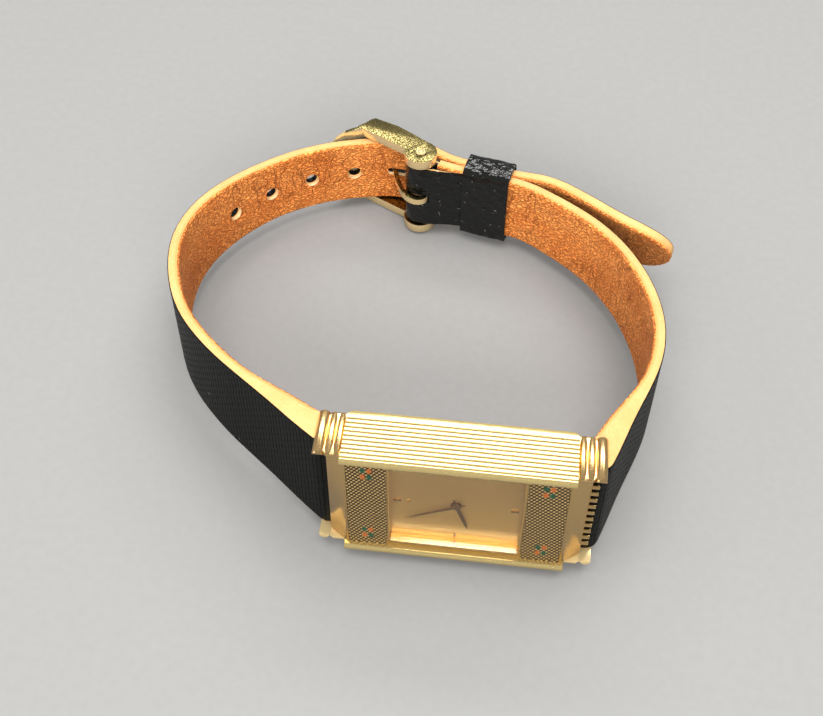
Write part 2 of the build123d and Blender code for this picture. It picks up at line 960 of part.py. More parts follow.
def offset_curve(route, offset_at, first, last, outward):
    count = 28
    points = []
    for i in range(count + 1):
        share = first + (last - first) * i / count
        along = route % share
        side = Vector(-along.Y, along.X, 0) * outward
        points.append(route @ share + side * offset_at(share * route.length))
    return Spline(*points)


def half_thickness(distance):
    # Thick where the leather is padded round the bar, thinner along the strap.
    fade = min(distance / strap_swell_length, 1)
    swell = (1 + cos(pi * fade)) / 2
    return strap_thickness / 2 + (eye_radius - strap_thickness / 2) * swell


def lining_bottom(distance):
    return -half_thickness(distance)


def lining_top(distance):
    return lining_thickness - half_thickness(distance)


def band(route, low_at, high_at, first, last, outward):
    inner = offset_curve(route, low_at, first, last, outward)
    outer = offset_curve(route, high_at, first, last, outward)
    return make_face([inner, Line(inner @ 1, outer @ 1), outer, Line(inner @ 0, outer @ 0)])


def tapered(face):
    return plan(face, 0, case_width) & strap_envelope()


def level(face):
    half = strap_buckle_width / 2
    return plan(face, buckle_mid() - half, buckle_mid() + half)


# The share of the long piece's length where its edges turn parallel
parallel_share = 0.6


def tang_hole_share(route):
    # Where the tang crosses the long piece, with the room that its swing takes.
    crossing = from_pin(tang_crossing_share)[0]
    steps = 1000
    spots = [(abs(route @ (i / steps) - Vector(*crossing)), i / steps) for i in range(steps)]
    return min(spots)[1] + tang_swing_room / route.length


def hole_cutters():
    route = long_route()
    tang_place = tang_hole_share(route)
    cutters = []
    for i in range(-holes_before_tang, holes_after_tang + 1):
        place = tang_place + i * hole_pitch / route.length
        spot = route @ place
        along = route % place
        plane = Plane(
            origin=(spot.X, spot.Y, buckle_mid()), x_dir=(along.X, along.Y, 0),
            z_dir=(-along.Y, along.X, 0))
        outline = Circle(hole_radius)
        if i == 0:
            outline = SlotOverall(tang_hole_length, tang_width + 2 * tang_side_gap)
        cutters.append(extrude(plane * outline, amount=strap_thickness, both=True))
    return cutters


def tip_cutter():
    # What is trimmed away to round the tip, square to the strap's end.
    route = long_route()
    share = 1 - tip_length / route.length
    spot = route @ share
    chord = route @ 1 - spot
    plane = Plane(
        origin=(spot.X, spot.Y, buckle_mid()), x_dir=(chord.X, chord.Y, 0),
        z_dir=(-chord.Y, chord.X, 0))
    blank = Pos(tip_length, 0) * Rectangle(2 * tip_length, 2 * strap_buckle_width)
    outline = blank - Ellipse(tip_length, strap_buckle_width / 2)
    return extrude(plane * outline, amount=2 * strap_thickness, both=True)


def trimmed(strap):
    for cutter in hole_cutters():
        strap = strap - cutter
    return strap - tip_cutter()


def eye(sign):
    return tapered(Pos(sign * bar_x, bar_y) * Circle(eye_radius))


def eye_bore(sign):
    return rod_z(sign * bar_x, bar_y, bar_radius + eye_gap, -overrun, case_width + overrun)


def strap_long_outer():
    route = long_route()
    near = tapered(band(route, lining_top, half_thickness, 0, parallel_share, 1))
    far = level(band(route, lining_top, half_thickness, parallel_share, 1, 1))
    return trimmed(near + far + eye(-1) - eye_bore(-1))


def strap_long_lining():
    route = long_route()
    start = 2 * eye_radius / route.length
    near = tapered(band(route, lining_bottom, lining_top, start, parallel_share, 1))
    far = level(band(route, lining_bottom, lining_top, parallel_share, 1, 1))
    return trimmed(near + far - eye(-1))


def strap_short_outer():
    body = tapered(band(short_route(), lining_top, half_thickness, 0, 1, -1))
    return body + eye(1) - eye_bore(1)


def strap_short_lining():
    route = short_route()
    start = 2 * eye_radius / route.length
    return tapered(band(route, lining_bottom, lining_top, start, 1, -1)) - eye(1)


def strap_short_fold():
    # The end of the short piece turned back on itself round the buckle pin.
    route = short_route()
    end = route @ 1
    along = route % 1
    side = Vector(-along.Y, along.X, 0) * -1
    top = end + side * (strap_thickness / 2)
    low = end - side * (strap_thickness / 2 + flap_gap)
    flap_share = 1 - flap_length / route.length
    flap_end = route @ flap_share
    flap_along = route % flap_share
    flap_side = Vector(-flap_along.Y, flap_along.X, 0) * -1
    flap_top = flap_end - flap_side * (strap_thickness / 2 + flap_gap)
    flap_low = flap_top - flap_side * fold_wall
    reach = fold_radius()
    outline = polygon([
        (pin_x, pin_y + reach), (top.X, top.Y), (low.X, low.Y), (flap_top.X, flap_top.Y),
        (flap_low.X, flap_low.Y), (pin_x, pin_y - reach)])
    fold = level(outline) + level(Pos(pin_x, pin_y) * Circle(reach))
    fold = fold - rod_z(pin_x, pin_y, pin_radius + flap_gap, -overrun, case_width)
    half_slot = tang_width / 2 + tang_side_gap
    slot_end = pin_x + tang_collar_radius() + tang_side_gap
    slot = slab(
        pin_x - 2 * reach, slot_end, pin_y - 2 * reach, pin_y + 2 * reach,
        buckle_mid() - half_slot, buckle_mid() + half_slot)
    return fold - slot


def constant(size):
    return lambda distance: size


def keeper():
    half_z = strap_buckle_width / 2 + keeper_gap
    low = -strap_thickness / 2 - keeper_gap
    high = layer_tail() + strap_thickness / 2 + keeper_gap
    half_x = keeper_width / 2
    outer = slab(
        -half_x, half_x, low - keeper_wall, high + keeper_wall,
        -half_z - keeper_wall, half_z + keeper_wall)
    outer = fillet(outer.edges().filter_by(Axis.X), keeper_wall)
    inner = slab(-keeper_width, keeper_width, low, high, -half_z, half_z)
    x, y = keeper_point(0, 0)
    return Pos(x, y, buckle_mid()) * Rot(0, 0, keeper_turn) * (outer - inner)


# Buckle, each outline in shares of its reach, measured from the pin
frame_arm_shares = [
    (0.056, 0.173), (-0.298, 0.395), (-0.560, 0.495), (-0.605, 0.467), (-0.653, 0.412),
    (-0.745, 0.330), (-0.887, 0.300), (-0.968, 0.252), (-1.0, 0.210), (-0.984, 0.203),
    (-0.940, 0.238), (-0.875, 0.262), (-0.770, 0.279), (-0.685, 0.305), (-0.177, 0.040)]
frame_plate_shares = [
    (-0.540, 0.490), (-0.560, 0.495), (-0.605, 0.467), (-0.653, 0.412), (-0.745, 0.330),
    (-0.887, 0.300), (-0.968, 0.252), (-1.0, 0.210), (-0.984, 0.203), (-0.940, 0.238),
    (-0.875, 0.262), (-0.770, 0.282), (-0.685, 0.345), (-0.615, 0.410), (-0.540, 0.440)]
# How far along the frame its far corners start to round, and how much they take off its height
frame_corner_shares = [(-0.72, 0), (-0.80, 0.022), (-0.87, 0.050), (-0.94, 0.085), (-1.02, 0.150)]
tang_crossing_share = [(-0.315, 0.258)]
tang_route_shares = [
    (0.022, -0.082), (0.077, -0.138), (0.048, -0.198), (-0.048, -0.214), (-0.137, -0.161),
    (-0.214, -0.044), (-0.278, 0.109), (-0.315, 0.258), (-0.366, 0.410), (-0.458, 0.522),
    (-0.567, 0.536), (-0.680, 0.450), (-0.772, 0.375), (-0.904, 0.337), (-0.992, 0.284),
    (-1.045, 0.232)]


def from_pin(shares):
    return [(pin_x + x * frame_reach, pin_y + y * frame_reach) for x, y in shares]


def frame_low():
    return buckle_mid() - strap_buckle_width / 2 - frame_side_gap - frame_thickness


def frame_high():
    return buckle_mid() + strap_buckle_width / 2 + frame_side_gap + frame_thickness


def frame_face():
    # The frame seen from its face, its far corners rounded.
    near = pin_x + frame_reach
    high = [(pin_x + x * frame_reach, frame_high() - cut * frame_reach) for x, cut in frame_corner_shares]
    low = [(pin_x + x * frame_reach, frame_low() + cut * frame_reach) for x, cut in frame_corner_shares]
    points = [(near, frame_high())] + high + low[::-1] + [(near, frame_low())]
    plane = Plane(origin=(0, pin_y + frame_reach, 0), x_dir=(1, 0, 0), z_dir=(0, -1, 0))
    return extrude(plane * polygon(points), amount=2 * frame_reach)


def buckle_frame():
    plate = plan(polygon(from_pin(frame_plate_shares)), frame_low(), frame_high())
    arm_face = polygon(from_pin(frame_arm_shares))
    lobe = Pos(pin_x, pin_y) * Circle(frame_lobe_radius)
    for z0 in (frame_low(), frame_high() - frame_thickness):
        plate = plate + plan(arm_face, z0, z0 + frame_thickness)
        plate = plate + plan(lobe, z0, z0 + frame_thickness)
    return (plate & frame_face()) - rod_z(pin_x, pin_y, pin_radius, -overrun, case_width)


def buckle_pin():
    return rod_z(pin_x, pin_y, pin_radius, frame_low(), frame_high())


def tang_collar_radius():
    return pin_radius + tang_hinge_gap + tang_collar_wall


def buckle_tang():
    route = Spline(*from_pin(tang_route_shares))
    half = tang_thickness / 2
    strip = band(route, constant(-half), constant(half), 0, 1, 1)
    low = buckle_mid() - tang_width / 2
    high = buckle_mid() + tang_width / 2
    tang = plan(strip, low, high) + rod_z(pin_x, pin_y, tang_collar_radius(), low, high)
    return tang - rod_z(pin_x, pin_y, pin_radius + tang_hinge_gap, -overrun, case_width)


parts = {
    "case_middle": case_middle(),
    "side_rail_9": side_rail(),
    "side_rail_3": lower_side_rail(),
    "lug_12_upper": lug(),
    "lug_12_lower": lower(lug()),
    "lug_6_upper": other_end(lug()),
    "lug_6_lower": opposite(lug()),
    "bezel_frame": bezel_frame(),
    "end_panel_12": end_panel(1),
    "end_panel_6": end_panel(-1),
    "enamel_rust": enamel(1),
    "enamel_green": enamel(-1),
    "crystal": crystal(),
    "crystal_gasket": crystal_gasket(),
    "dial_ring": dial_ring(),
    "dial": dial(),
    "dial_markers": dial_markers(),
    "minute_hand": minute_hand(),
    "hour_hand": hour_hand(),
    "cannon_pinion": cannon_pinion(),
    "hour_wheel": hour_wheel(),
    "minute_wheel": minute_wheel(),
    "centre_wheel": centre_wheel(),
    "third_wheel": third_wheel(),
    "rotor": rotor(),
    "stator": stator(),
    "coil": coil(),
    "battery": battery(),
    "battery_clip": battery_clip(),
    "circuit_board": circuit_board(),
    "resonator": resonator(),
    "main_plate": main_plate(),
    "train_bridge": train_bridge(),
    "bridge_screws": bridge_screws(),
    "movement_holder": movement_holder(),
    "case_back": case_back(),
    "back_gasket": back_gasket(),
    "crown": crown(),
    "crown_tube": crown_tube(),
    "stem": stem(),
    "setting_lever": setting_lever(),
    "spring_bar_12": spring_bar(),
    "spring_bar_6": other_end(spring_bar()),
    "bar_tip_12_upper": bar_tip(),
    "bar_tip_12_lower": lower(bar_tip()),
    "bar_tip_6_upper": other_end(bar_tip()),
    "bar_tip_6_lower": opposite(bar_tip()),
    "bar_springs": bar_springs(),
    "strap_long_outer": strap_long_outer(),
    "strap_long_lining": strap_long_lining(),
    "strap_short_outer": strap_short_outer(),
    "strap_short_lining": strap_short_lining(),
    "strap_short_fold": strap_short_fold(),
    "keeper": keeper(),
    "buckle_frame": buckle_frame(),
    "buckle_pin": buckle_pin(),
    "buckle_tang": buckle_tang(),
}


def lean():
    # The watch stands on the edge of its crown and the highest point of its buckle.
    rise = frame_low() + crown_reach
    run = pin_y + frame_reach * max(y for x, y in frame_arm_shares)
    run = run - (crown_y + crown_radius - crown_edge)
    return degrees(atan2(rise, run))


def standing():
    turn = Rot(-lean(), 0, 0)
    box = (turn * Compound(list(parts.values()))).bounding_box()
    middle = box.center()
    return Pos(-middle.X, -middle.Y, -box.min.Z) * turn


stand = standing()
os.makedirs("parts", exist_ok=True)
for name, shape in parts.items():
    export_step(stand * shape, "parts/" + name + ".step")
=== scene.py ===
import json
import math

import bmesh
import bpy
import numpy
from mathutils import Matrix, Vector, noise

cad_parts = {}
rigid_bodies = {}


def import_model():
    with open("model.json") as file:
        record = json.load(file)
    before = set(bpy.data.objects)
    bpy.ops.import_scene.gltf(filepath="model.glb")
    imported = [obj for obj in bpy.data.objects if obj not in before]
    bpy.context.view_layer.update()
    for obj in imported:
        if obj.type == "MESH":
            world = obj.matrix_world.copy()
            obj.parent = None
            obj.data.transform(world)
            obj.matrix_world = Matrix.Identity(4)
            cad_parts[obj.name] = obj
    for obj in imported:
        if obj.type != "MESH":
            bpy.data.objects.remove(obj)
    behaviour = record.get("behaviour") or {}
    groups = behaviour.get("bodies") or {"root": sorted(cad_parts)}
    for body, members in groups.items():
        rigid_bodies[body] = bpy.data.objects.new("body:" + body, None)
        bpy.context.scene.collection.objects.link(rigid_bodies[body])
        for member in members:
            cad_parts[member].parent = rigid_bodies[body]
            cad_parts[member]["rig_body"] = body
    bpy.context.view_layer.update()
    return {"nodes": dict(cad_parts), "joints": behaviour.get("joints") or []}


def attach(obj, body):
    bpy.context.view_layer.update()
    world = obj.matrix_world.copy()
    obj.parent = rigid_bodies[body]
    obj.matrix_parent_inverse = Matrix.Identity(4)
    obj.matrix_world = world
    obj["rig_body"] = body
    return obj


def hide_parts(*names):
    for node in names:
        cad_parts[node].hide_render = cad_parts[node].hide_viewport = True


# A rectangular dress watch on its buckled leather strap, stood on its side on a table.
# The metal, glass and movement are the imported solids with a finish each. The leather is modelled
# here: each layer of the strap is cut flat, punched, then bent along the way that the strap lies.
# Leather is drawn in millimetres in the case's frame, X along the strap from 6 to 12 o'clock,
# Y from the glass to the wrist and Z up, and is then stood on the table with the case.

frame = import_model()

# How the case stands: its lean back and its origin on the table
hands = [joint for joint in frame["joints"] if joint["name"] == "minute_hand_turn"][0]
lean = math.atan2(-hands["axis"][2], hands["axis"][1])
millimetre = 0.001
turned_back = Matrix.Rotation(-lean, 4, "X")
hands_place = Vector((0, 3.0, 9.0))
seat = Vector(hands["pos_m"]) / millimetre - turned_back @ hands_place
stand = Matrix.Scale(millimetre, 4) @ Matrix.Translation(seat) @ turned_back

# Strap, with the sizes of its solids, in millimetres
bar = Vector((15.0, 4.6))
eye_radius = 1.65
strap_thickness = 1.45
lining_thickness = 0.55
swell_length = 15.0
lug_width = 16.0
buckle_width = 9.8
case_middle_height = 9.0
strap_droop = 0.47
loop_width = 61.7
loop_depth = 57.0
hole_radius = 0.84
lining_hole_radius = 0.99
hole_pitch = 6.2
holes_before_tang = 4
holes_after_tang = 2
tang_slot = 3.0
tang_slot_height = 1.14
tang_swing_room = 0.35
tip_length = 6.0
skin_thickness = 0.12
edge_round = 0.12
lining_round = 0.34
lining_start = 1.5
lining_full = 3.6
lining_setback = 0.1
long_parallel_share = 0.6
tail_twist = math.radians(21)

# How finely a strip is modelled: the step along it, the rows round the bar's eye and at the tip,
# the columns across and how far the outermost lie from the edge. A cut edge sways a little, in so
# many waves per millimetre.
station_step = 0.75
eye_rows = 7
tip_rows = 14
strip_columns = 18
edge_insets = (0, 0.05, 0.13, 0.24, 0.4)
edge_sway = 0.03
sway_pace = 0.35
same_place = 0.0005

# Buckle end: the pin, the fold round it and the frame. Before the fold's end its leather is pared
# thin between two lengths. The pin's head has rings, each an inset and a rise.
pin = Vector((-0.1605 * loop_width, 0.9333 * loop_depth))
pin_room = 0.76
fold_wall = 1.3
fold_radius = pin_room + fold_wall
fold_gap = 0.15
flap_gap = 0.06
flap_end_thickness = 0.11
fold_core = 0.1
fold_edge_room = 0.02
fold_round = 0.3
fold_slot_reach = 1.42
pared_lengths = (8.6, 3.6)
frame_reach = 12.4
frame_gap = 0.3
frame_thickness = 1.25
pin_head_radius = 0.62
pin_head_depth = 0.3
pin_head_sunk = 0.1
pin_head_rings = ((0.09, 0.06), (0.14, -0.12), (0.09, 0.1))

# Keeper: cuts are an axis and a number, and waves of its crinkles a pace per millimetre and a share
keeper_from_pin = Vector((9.25, -1.75))
keeper_turn = math.radians(-12.0)
keeper_width = 6.4
keeper_run_in = 1.0
keeper_gap = 0.2
keeper_wall = 0.5
keeper_corner = 0.75
keeper_cuts = ((0, 21), (2, 26), (1, 7))
keeper_dome = 0.28
keeper_end = 1.6
keeper_crinkle = 0.05
keeper_end_crinkle = 0.13
keeper_waves = ((0.85, 0.6), (2.1, 0.4))
tail_layer = strap_thickness + flap_gap
buckle_height = case_middle_height - strap_droop

# Polished edges of the solids: the distance at which they are welded, in metres, and the angles
# in degrees under which faces are joined and over which an edge is broken
weld_distance = 0.000002
flat_within = 0.6
sharp_from = 32

# Directions: a quarter turn, and how far along an axis a normal points that faces or leans that way
quarter = math.pi / 2
upright = 0.9
leaning = 0.7


# Steps of modelling: what is picked, cut, merged and finished
def clear():
    if bpy.context.mode != "OBJECT":
        bpy.ops.object.mode_set(mode="OBJECT")
    bpy.ops.object.select_all(action="DESELECT")


def take(piece):
    clear()
    piece.select_set(True)
    bpy.context.view_layer.objects.active = piece


def open_mesh(piece, kind):
    take(piece)
    bpy.ops.object.mode_set(mode="EDIT")
    bpy.ops.mesh.select_mode(type=kind)
    bpy.ops.mesh.select_all(action="DESELECT")


def pick(piece, kind, wanted):
    cage = bmesh.from_edit_mesh(piece.data)
    for item in getattr(cage, kind):
        if wanted(item):
            item.select_set(True)
    cage.select_flush_mode()
    bmesh.update_edit_mesh(piece.data)


def close_mesh():
    bpy.ops.object.mode_set(mode="OBJECT")


def block(name, low, high):
    # A box between two corners.
    clear()
    low = Vector(low)
    high = Vector(high)
    bpy.ops.mesh.primitive_cube_add(size=1, location=(low + high) / 2, scale=high - low)
    bpy.ops.object.transform_apply(location=True, rotation=True, scale=True)
    piece = bpy.context.object
    piece.name = name
    piece.data.name = name
    return piece


def cut_across(piece, axis, count):
    # Cuts the edges that run along one axis into equal lengths.
    if count < 1:
        return

    def runs_along(edge):
        run = edge.verts[1].co - edge.verts[0].co
        return abs(run[axis]) > 0.999 * run.length

    open_mesh(piece, "EDGE")
    pick(piece, "edges", runs_along)
    bpy.ops.mesh.subdivide(number_cuts=count)
    close_mesh()


def merge(piece, distance):
    open_mesh(piece, "VERT")
    bpy.ops.mesh.select_all(action="SELECT")
    bpy.ops.mesh.remove_doubles(threshold=distance)
    close_mesh()


def face_outwards(piece):
    open_mesh(piece, "FACE")
    bpy.ops.mesh.select_all(action="SELECT")
    bpy.ops.mesh.normals_make_consistent(inside=False)
    close_mesh()


def use(piece, kind, **settings):
    take(piece)
    step = piece.modifiers.new(kind.lower(), kind)
    for name, value in settings.items():
        setattr(step, name, value)
    bpy.ops.object.modifier_apply(modifier=step.name)


def remove(piece):
    bpy.data.objects.remove(piece, do_unlink=True)


def cut_out(piece, cutter):
    use(piece, "BOOLEAN", operation="DIFFERENCE", object=cutter, solver="EXACT")
    remove(cutter)


def smooth(piece, degrees):
    take(piece)
    bpy.ops.object.shade_smooth_by_angle(angle=math.radians(degrees))


def softened(name, width, side_finish=None):
    """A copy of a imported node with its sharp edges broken, as polishing leaves them. Its sides may
    have a finish of their own."""
    node = frame["nodes"][name]
    piece = bpy.data.objects.new(name + "_polished", node.data.copy())
    bpy.context.collection.objects.link(piece)
    merge(piece, weld_distance)
    open_mesh(piece, "FACE")
    bpy.ops.mesh.select_all(action="SELECT")
    bpy.ops.mesh.dissolve_limited(angle_limit=math.radians(flat_within))
    close_mesh()
    use(
        piece, "BEVEL", width=width * millimetre, segments=2, limit_method="ANGLE",
        angle_limit=math.radians(sharp_from))
    if side_finish:
        piece.data.materials.append(side_finish)
        for face in piece.data.polygons:
            face.material_index = 0 if face.normal.z > upright else 1
    smooth(piece, sharp_from)
    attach(piece, node["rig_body"])
    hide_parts(name)


# The strap's two ways, as points that a smooth curve goes through
def shared(shares):
    return [Vector((x * loop_width, y * loop_depth)) for x, y in shares]


def from_pin(shares):
    return [pin + Vector(share) * frame_reach for share in shares]


def over_fold(turn):
    # A place on the long piece where it lies over the fold, by its turn round the pin in degrees.
    reach = fold_radius + fold_gap + strap_thickness / 2
    angle = math.radians(turn)
    return pin + Vector((math.cos(angle), math.sin(angle))) * reach


def keeper_point(outward, along):
    # A place by its distances from the middle of the short piece in the keeper, outward and along.
    run = Vector((math.cos(keeper_turn), math.sin(keeper_turn)))
    side = Vector((-run.y, run.x))
    return pin + keeper_from_pin + run * along + side * outward


def through_keeper(outward, way):
    run = keeper_width / 2 + keeper_run_in
    return [keeper_point(outward, way * share * run) for share in (-1, -0.4, 0.4, 1)]


def long_way():
    points = [Vector((-bar.x, bar.y))]
    points += shared([
        (-0.345, 0.158), (-0.423, 0.216), (-0.502, 0.291), (-0.565, 0.375), (-0.606, 0.474),
        (-0.626, 0.603), (-0.606, 0.712), (-0.538, 0.828), (-0.440, 0.918)])
    points += from_pin([(-0.944, 0.145), (-0.600, 0.242)])
    corner = fold_radius + strap_thickness
    points.append(pin + Vector((-corner, corner)))
    points += [over_fold(90), over_fold(69), over_fold(48)]
    points += through_keeper(tail_layer, 1)
    points += shared([
        (0.102, 0.908), (0.147, 0.891), (0.186, 0.866), (0.224, 0.838), (0.263, 0.808),
        (0.303, 0.781), (0.346, 0.760), (0.390, 0.747)])
    return points


def short_end():
    return over_fold(30) - Vector((0, strap_thickness + fold_gap))


def short_way():
    points = [bar.copy()]
    points += shared([
        (0.284, 0.189), (0.331, 0.302), (0.352, 0.456), (0.329, 0.579), (0.280, 0.689),
        (0.217, 0.772), (0.134, 0.842)])
    points += through_keeper(0, -1)
    points.append(short_end())
    return points


def fold_way():
    # From the short piece's end round the pin and back along its wrist side, under the keeper.
    middle = pin_room + fold_wall / 2
    points = [short_end(), pin + Vector((1.25, 0.72))]
    for turn in (75, 110, 150, 190, 230, 265):
        angle = math.radians(turn)
        points.append(pin + Vector((math.cos(angle), math.sin(angle))) * middle)
    inner = strap_thickness / 2 + flap_gap
    tongue = flap_end_thickness / 2
    for half_wall, to_middle in (
            (fold_wall * 0.46, 6.9), (fold_wall * 0.25, 5.0), (tongue, keeper_width / 2 + 0.3),
            (tongue, 0)):
        points.append(keeper_point(-inner - half_wall, -to_middle))
    return points


def slopes_through(points, steps):
    # The slopes at the points for which the curve also bends smoothly from one run to the next.
    count = len(points)
    rises = [(points[i + 1] - points[i]) / steps[i] for i in range(count - 1)]
    rows = numpy.zeros((count, count))
    right = numpy.zeros((count, 2))
    rows[0, :2] = (2, 1)
    rows[-1, -2:] = (1, 2)
    right[0] = 3 * rises[0]
    right[-1] = 3 * rises[-1]
    for i in range(1, count - 1):
        before = steps[i - 1]
        after = steps[i]
        rows[i, i - 1:i + 2] = (after, 2 * (before + after), before)
        right[i] = 3 * (after * rises[i - 1] + before * rises[i])
    return [Vector(slope) for slope in numpy.linalg.solve(rows, right)]


def drawn(name, points, slopes, steps):
    # The same curve as an object that leather can be bent along.
    line = bpy.data.curves.new(name, "CURVE")
    line.dimensions = "2D"
    line.resolution_u = 40
    spline = line.splines.new("BEZIER")
    spline.bezier_points.add(len(points) - 1)
    before = [steps[0]] + steps
    after = steps + [steps[-1]]
    for i, knot in enumerate(spline.bezier_points):
        knot.handle_left_type = "FREE"
        knot.handle_right_type = "FREE"
        knot.co = points[i].to_3d()
        knot.handle_left = (points[i] - slopes[i] * before[i] / 3).to_3d()
        knot.handle_right = (points[i] + slopes[i] * after[i] / 3).to_3d()
    made = bpy.data.objects.new(name, line)
    bpy.context.collection.objects.link(made)
    return made


class Way:
    """A smooth curve through points, with its length measured along it."""

    spots_a_run = 24

    def __init__(self, name, points):
        steps = [(two - one).length for one, two in zip(points, points[1:])]
        slopes = slopes_through(points, steps)
        self.object = drawn(name, points, slopes, steps)
        self.spots = []
        for i, step in enumerate(steps):
            for k in range(self.spots_a_run):
                t = k / self.spots_a_run
                self.spots.append(
                    points[i] * (1 + 2 * t) * (1 - t) ** 2 + slopes[i] * step * t * (1 - t) ** 2
                    + points[i + 1] * t * t * (3 - 2 * t)
                    - slopes[i + 1] * step * t * t * (1 - t))
        self.spots.append(points[-1])
        self.marks = [0]
        for one, two in zip(self.spots, self.spots[1:]):
            self.marks.append(self.marks[-1] + (two - one).length)
        self.length = self.marks[-1]

    def spot(self, distance):
        distance = min(max(distance, 0), self.length)
        i = int(numpy.searchsorted(self.marks, distance))
        i = min(max(i, 1), len(self.marks) - 1)
        span = self.marks[i] - self.marks[i - 1]
        return self.spots[i - 1].lerp(self.spots[i], (distance - self.marks[i - 1]) / span)

    def nearest(self, place):
        gaps = [(spot - place).length for spot in self.spots]
        return self.marks[gaps.index(min(gaps))]


# The strap's shape along its length
def eased(value, start, end):
    # From 0 at the start to 1 at the end, level at both.
    share = min(max((value - start) / (end - start), 0), 1)
    return share * share * (3 - 2 * share)


def half_thickness(distance):
    if distance < 0:
        return math.sqrt(max(eye_radius ** 2 - distance ** 2, 0))
    fade = min(distance / swell_length, 1)
    swell = (1 + math.cos(math.pi * fade)) / 2
    return strap_thickness / 2 + (eye_radius - strap_thickness / 2) * swell


def seam(distance):
    # Where the lining is glued to the outer leather. Its end is pared thin near the bar.
    pared = eased(distance, lining_start, lining_full)
    return -half_thickness(distance) + lining_thickness * pared


def taper_share(height):
    taper_end = pin.y - keeper_width / 2
    return min(max((height - bar.y) / (taper_end - bar.y), 0), 1)


class Outline:
    """Half width and middle height of the strap at a distance along it."""

    def __init__(self, way, parallel_from, tip):
        self.way = way
        self.parallel_from = parallel_from
        self.tip = tip

    def share(self, distance):
        if distance > self.parallel_from:
            return 1
        return taper_share(self.way.spot(distance).y)

    def half(self, distance):
        half = (lug_width + (buckle_width - lug_width) * self.share(distance)) / 2
        into_tip = distance - (self.way.length - tip_length)
        if self.tip and into_tip > 0:
            half *= math.sqrt(max(1 - (into_tip / tip_length) ** 2, 0))
        return half

    def middle(self, distance):
        return case_middle_height - strap_droop * self.share(distance)


class Parallel:
    """The outline of a strip of one width."""

    def __init__(self, half, middle):
        self.half = lambda distance: half
        self.middle = lambda distance: middle


def stations(first, last, tip):
    # Places along a strip: round the bar's eye where the first is below 0, and closer at the tip.
    places = []
    if first < 0:
        for k in range(eye_rows):
            places.append(-eye_radius * math.cos(k / eye_rows * quarter))
        first = 0
    body_end = last - (tip_length if tip else 0)
    count = max(round((body_end - first) / station_step), 1)
    for k in range(count + 1):
        places.append(first + (body_end - first) * k / count)
    if tip:
        for k in range(1, tip_rows + 1):
            places.append(body_end + tip_length * math.sin(k / tip_rows * quarter))
    return places


def column_place(column, columns, half):
    # Columns crowd towards the two edges, where the leather's section is rounded.
    if column > columns / 2:
        return -column_place(columns - column, columns, half)
    inner = len(edge_insets) - 1
    if column <= inner:
        inset = edge_insets[column]
    else:
        full = edge_insets[-1]
        inset = full + (half - full) * (column - inner) / (columns / 2 - inner)
    return -half + min(inset, half * column / (columns / 2))


def rounding(inset, radius):
    if inset >= radius:
        return 0
    return radius - math.sqrt(max(radius ** 2 - (radius - inset) ** 2, 0))


def leather_layer(name, places, levels, outline, rounds, colours, outward, uneven=edge_sway):
    """A strip cut flat. levels are heights in the thickness, lowest first, each a function of the
    distance along; rounds are the edge radii below and above; colours gives, for each band of the
    side and then for the under and upper face, the number of its finish."""
    rows = len(levels) - 1
    side_bands, under, upper = colours
    last = len(places) - 1
    piece = block(name, (0, 0, 0), (last, rows, strip_columns))
    cut_across(piece, 0, last - 1)
    cut_across(piece, 1, rows - 1)
    cut_across(piece, 2, strip_columns - 1)
    for face in piece.data.polygons:
        middle = face.center
        if abs(face.normal.y) > 0.5:
            face.material_index = upper if middle.y > rows / 2 else under
        elif abs(face.normal.z) > 0.5:
            face.material_index = side_bands[int(middle.y)]
        else:
            face.material_index = upper
    for corner in piece.data.vertices:
        place = places[round(corner.co.x)]
        row = round(corner.co.y)
        half = outline.half(place)
        across = column_place(round(corner.co.z), strip_columns, half)
        height = levels[row](place)
        low = levels[0](place)
        high = levels[rows](place)
        deepest = (high - low) * 0.45
        top = high - min(rounds[1], deepest)
        inset = half - abs(across)
        if row == rows:
            height -= min(rounding(inset, rounds[1]), deepest)
        elif row == 0:
            height += min(rounding(inset, rounds[0]), deepest)
        else:
            height = min(height, top)
        # Each edge wanders a little in its own way.
        side = 3.0 * math.copysign(1, across)
        sway = noise.noise((place * sway_pace, side, 0.5))
        across += sway * uneven * min(half, 1) * (1 if abs(across) > half * 0.5 else 0)
        corner.co = (place, height * outward, outline.middle(place) + across)
    merge(piece, same_place)
    face_outwards(piece)
    return piece


def chart(piece, flattened):
    # Places in millimetres on the flat leather, which its pattern follows.
    made = piece.data.uv_layers.get("flat") or piece.data.uv_layers.new(name="flat")
    for face in piece.data.polygons:
        for loop in face.loop_indices:
            spot = piece.data.vertices[piece.data.loops[loop].vertex_index].co
            made.data[loop].uv = flattened(spot, abs(face.normal.z) > leaning)
    for other in [layer for layer in piece.data.uv_layers if layer.name != "flat"]:
        piece.data.uv_layers.remove(other)


def flat_strip(spot, on_edge):
    # Along, and across or, on an edge, through the thickness.
    return spot.x, spot.y if on_edge else spot.z


def flat_loop(spot, on_end):
    # The keeper's pattern runs on from its sides over its ends.
    return spot.x, spot.z + spot.y * (1 if on_end else 0.2)


def give_slots(piece, finishes):
    for one in finishes:
        piece.data.materials.append(one)


def bend(piece, way):
    use(piece, "CURVE", object=way.object, deform_axis="POS_X")


def stand_up(piece):
    piece.data.transform(stand)
    piece.data.update()


def finished(piece, body, nodes, angle=40):
    smooth(piece, angle)
    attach(piece, body)
    if nodes:
        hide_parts(*nodes)


# Nodes of the finishes
def join(tree, one, other):
    tree.links.new(one, other)


def add(tree, kind, inputs=None, **settings):
    made = tree.nodes.new(kind)
    for name, value in settings.items():
        setattr(made, name, value)
    for name, value in (inputs or {}).items():
        if isinstance(value, bpy.types.NodeSocket):
            join(tree, value, made.inputs[name])
        else:
            made.inputs[name].default_value = value
    return made


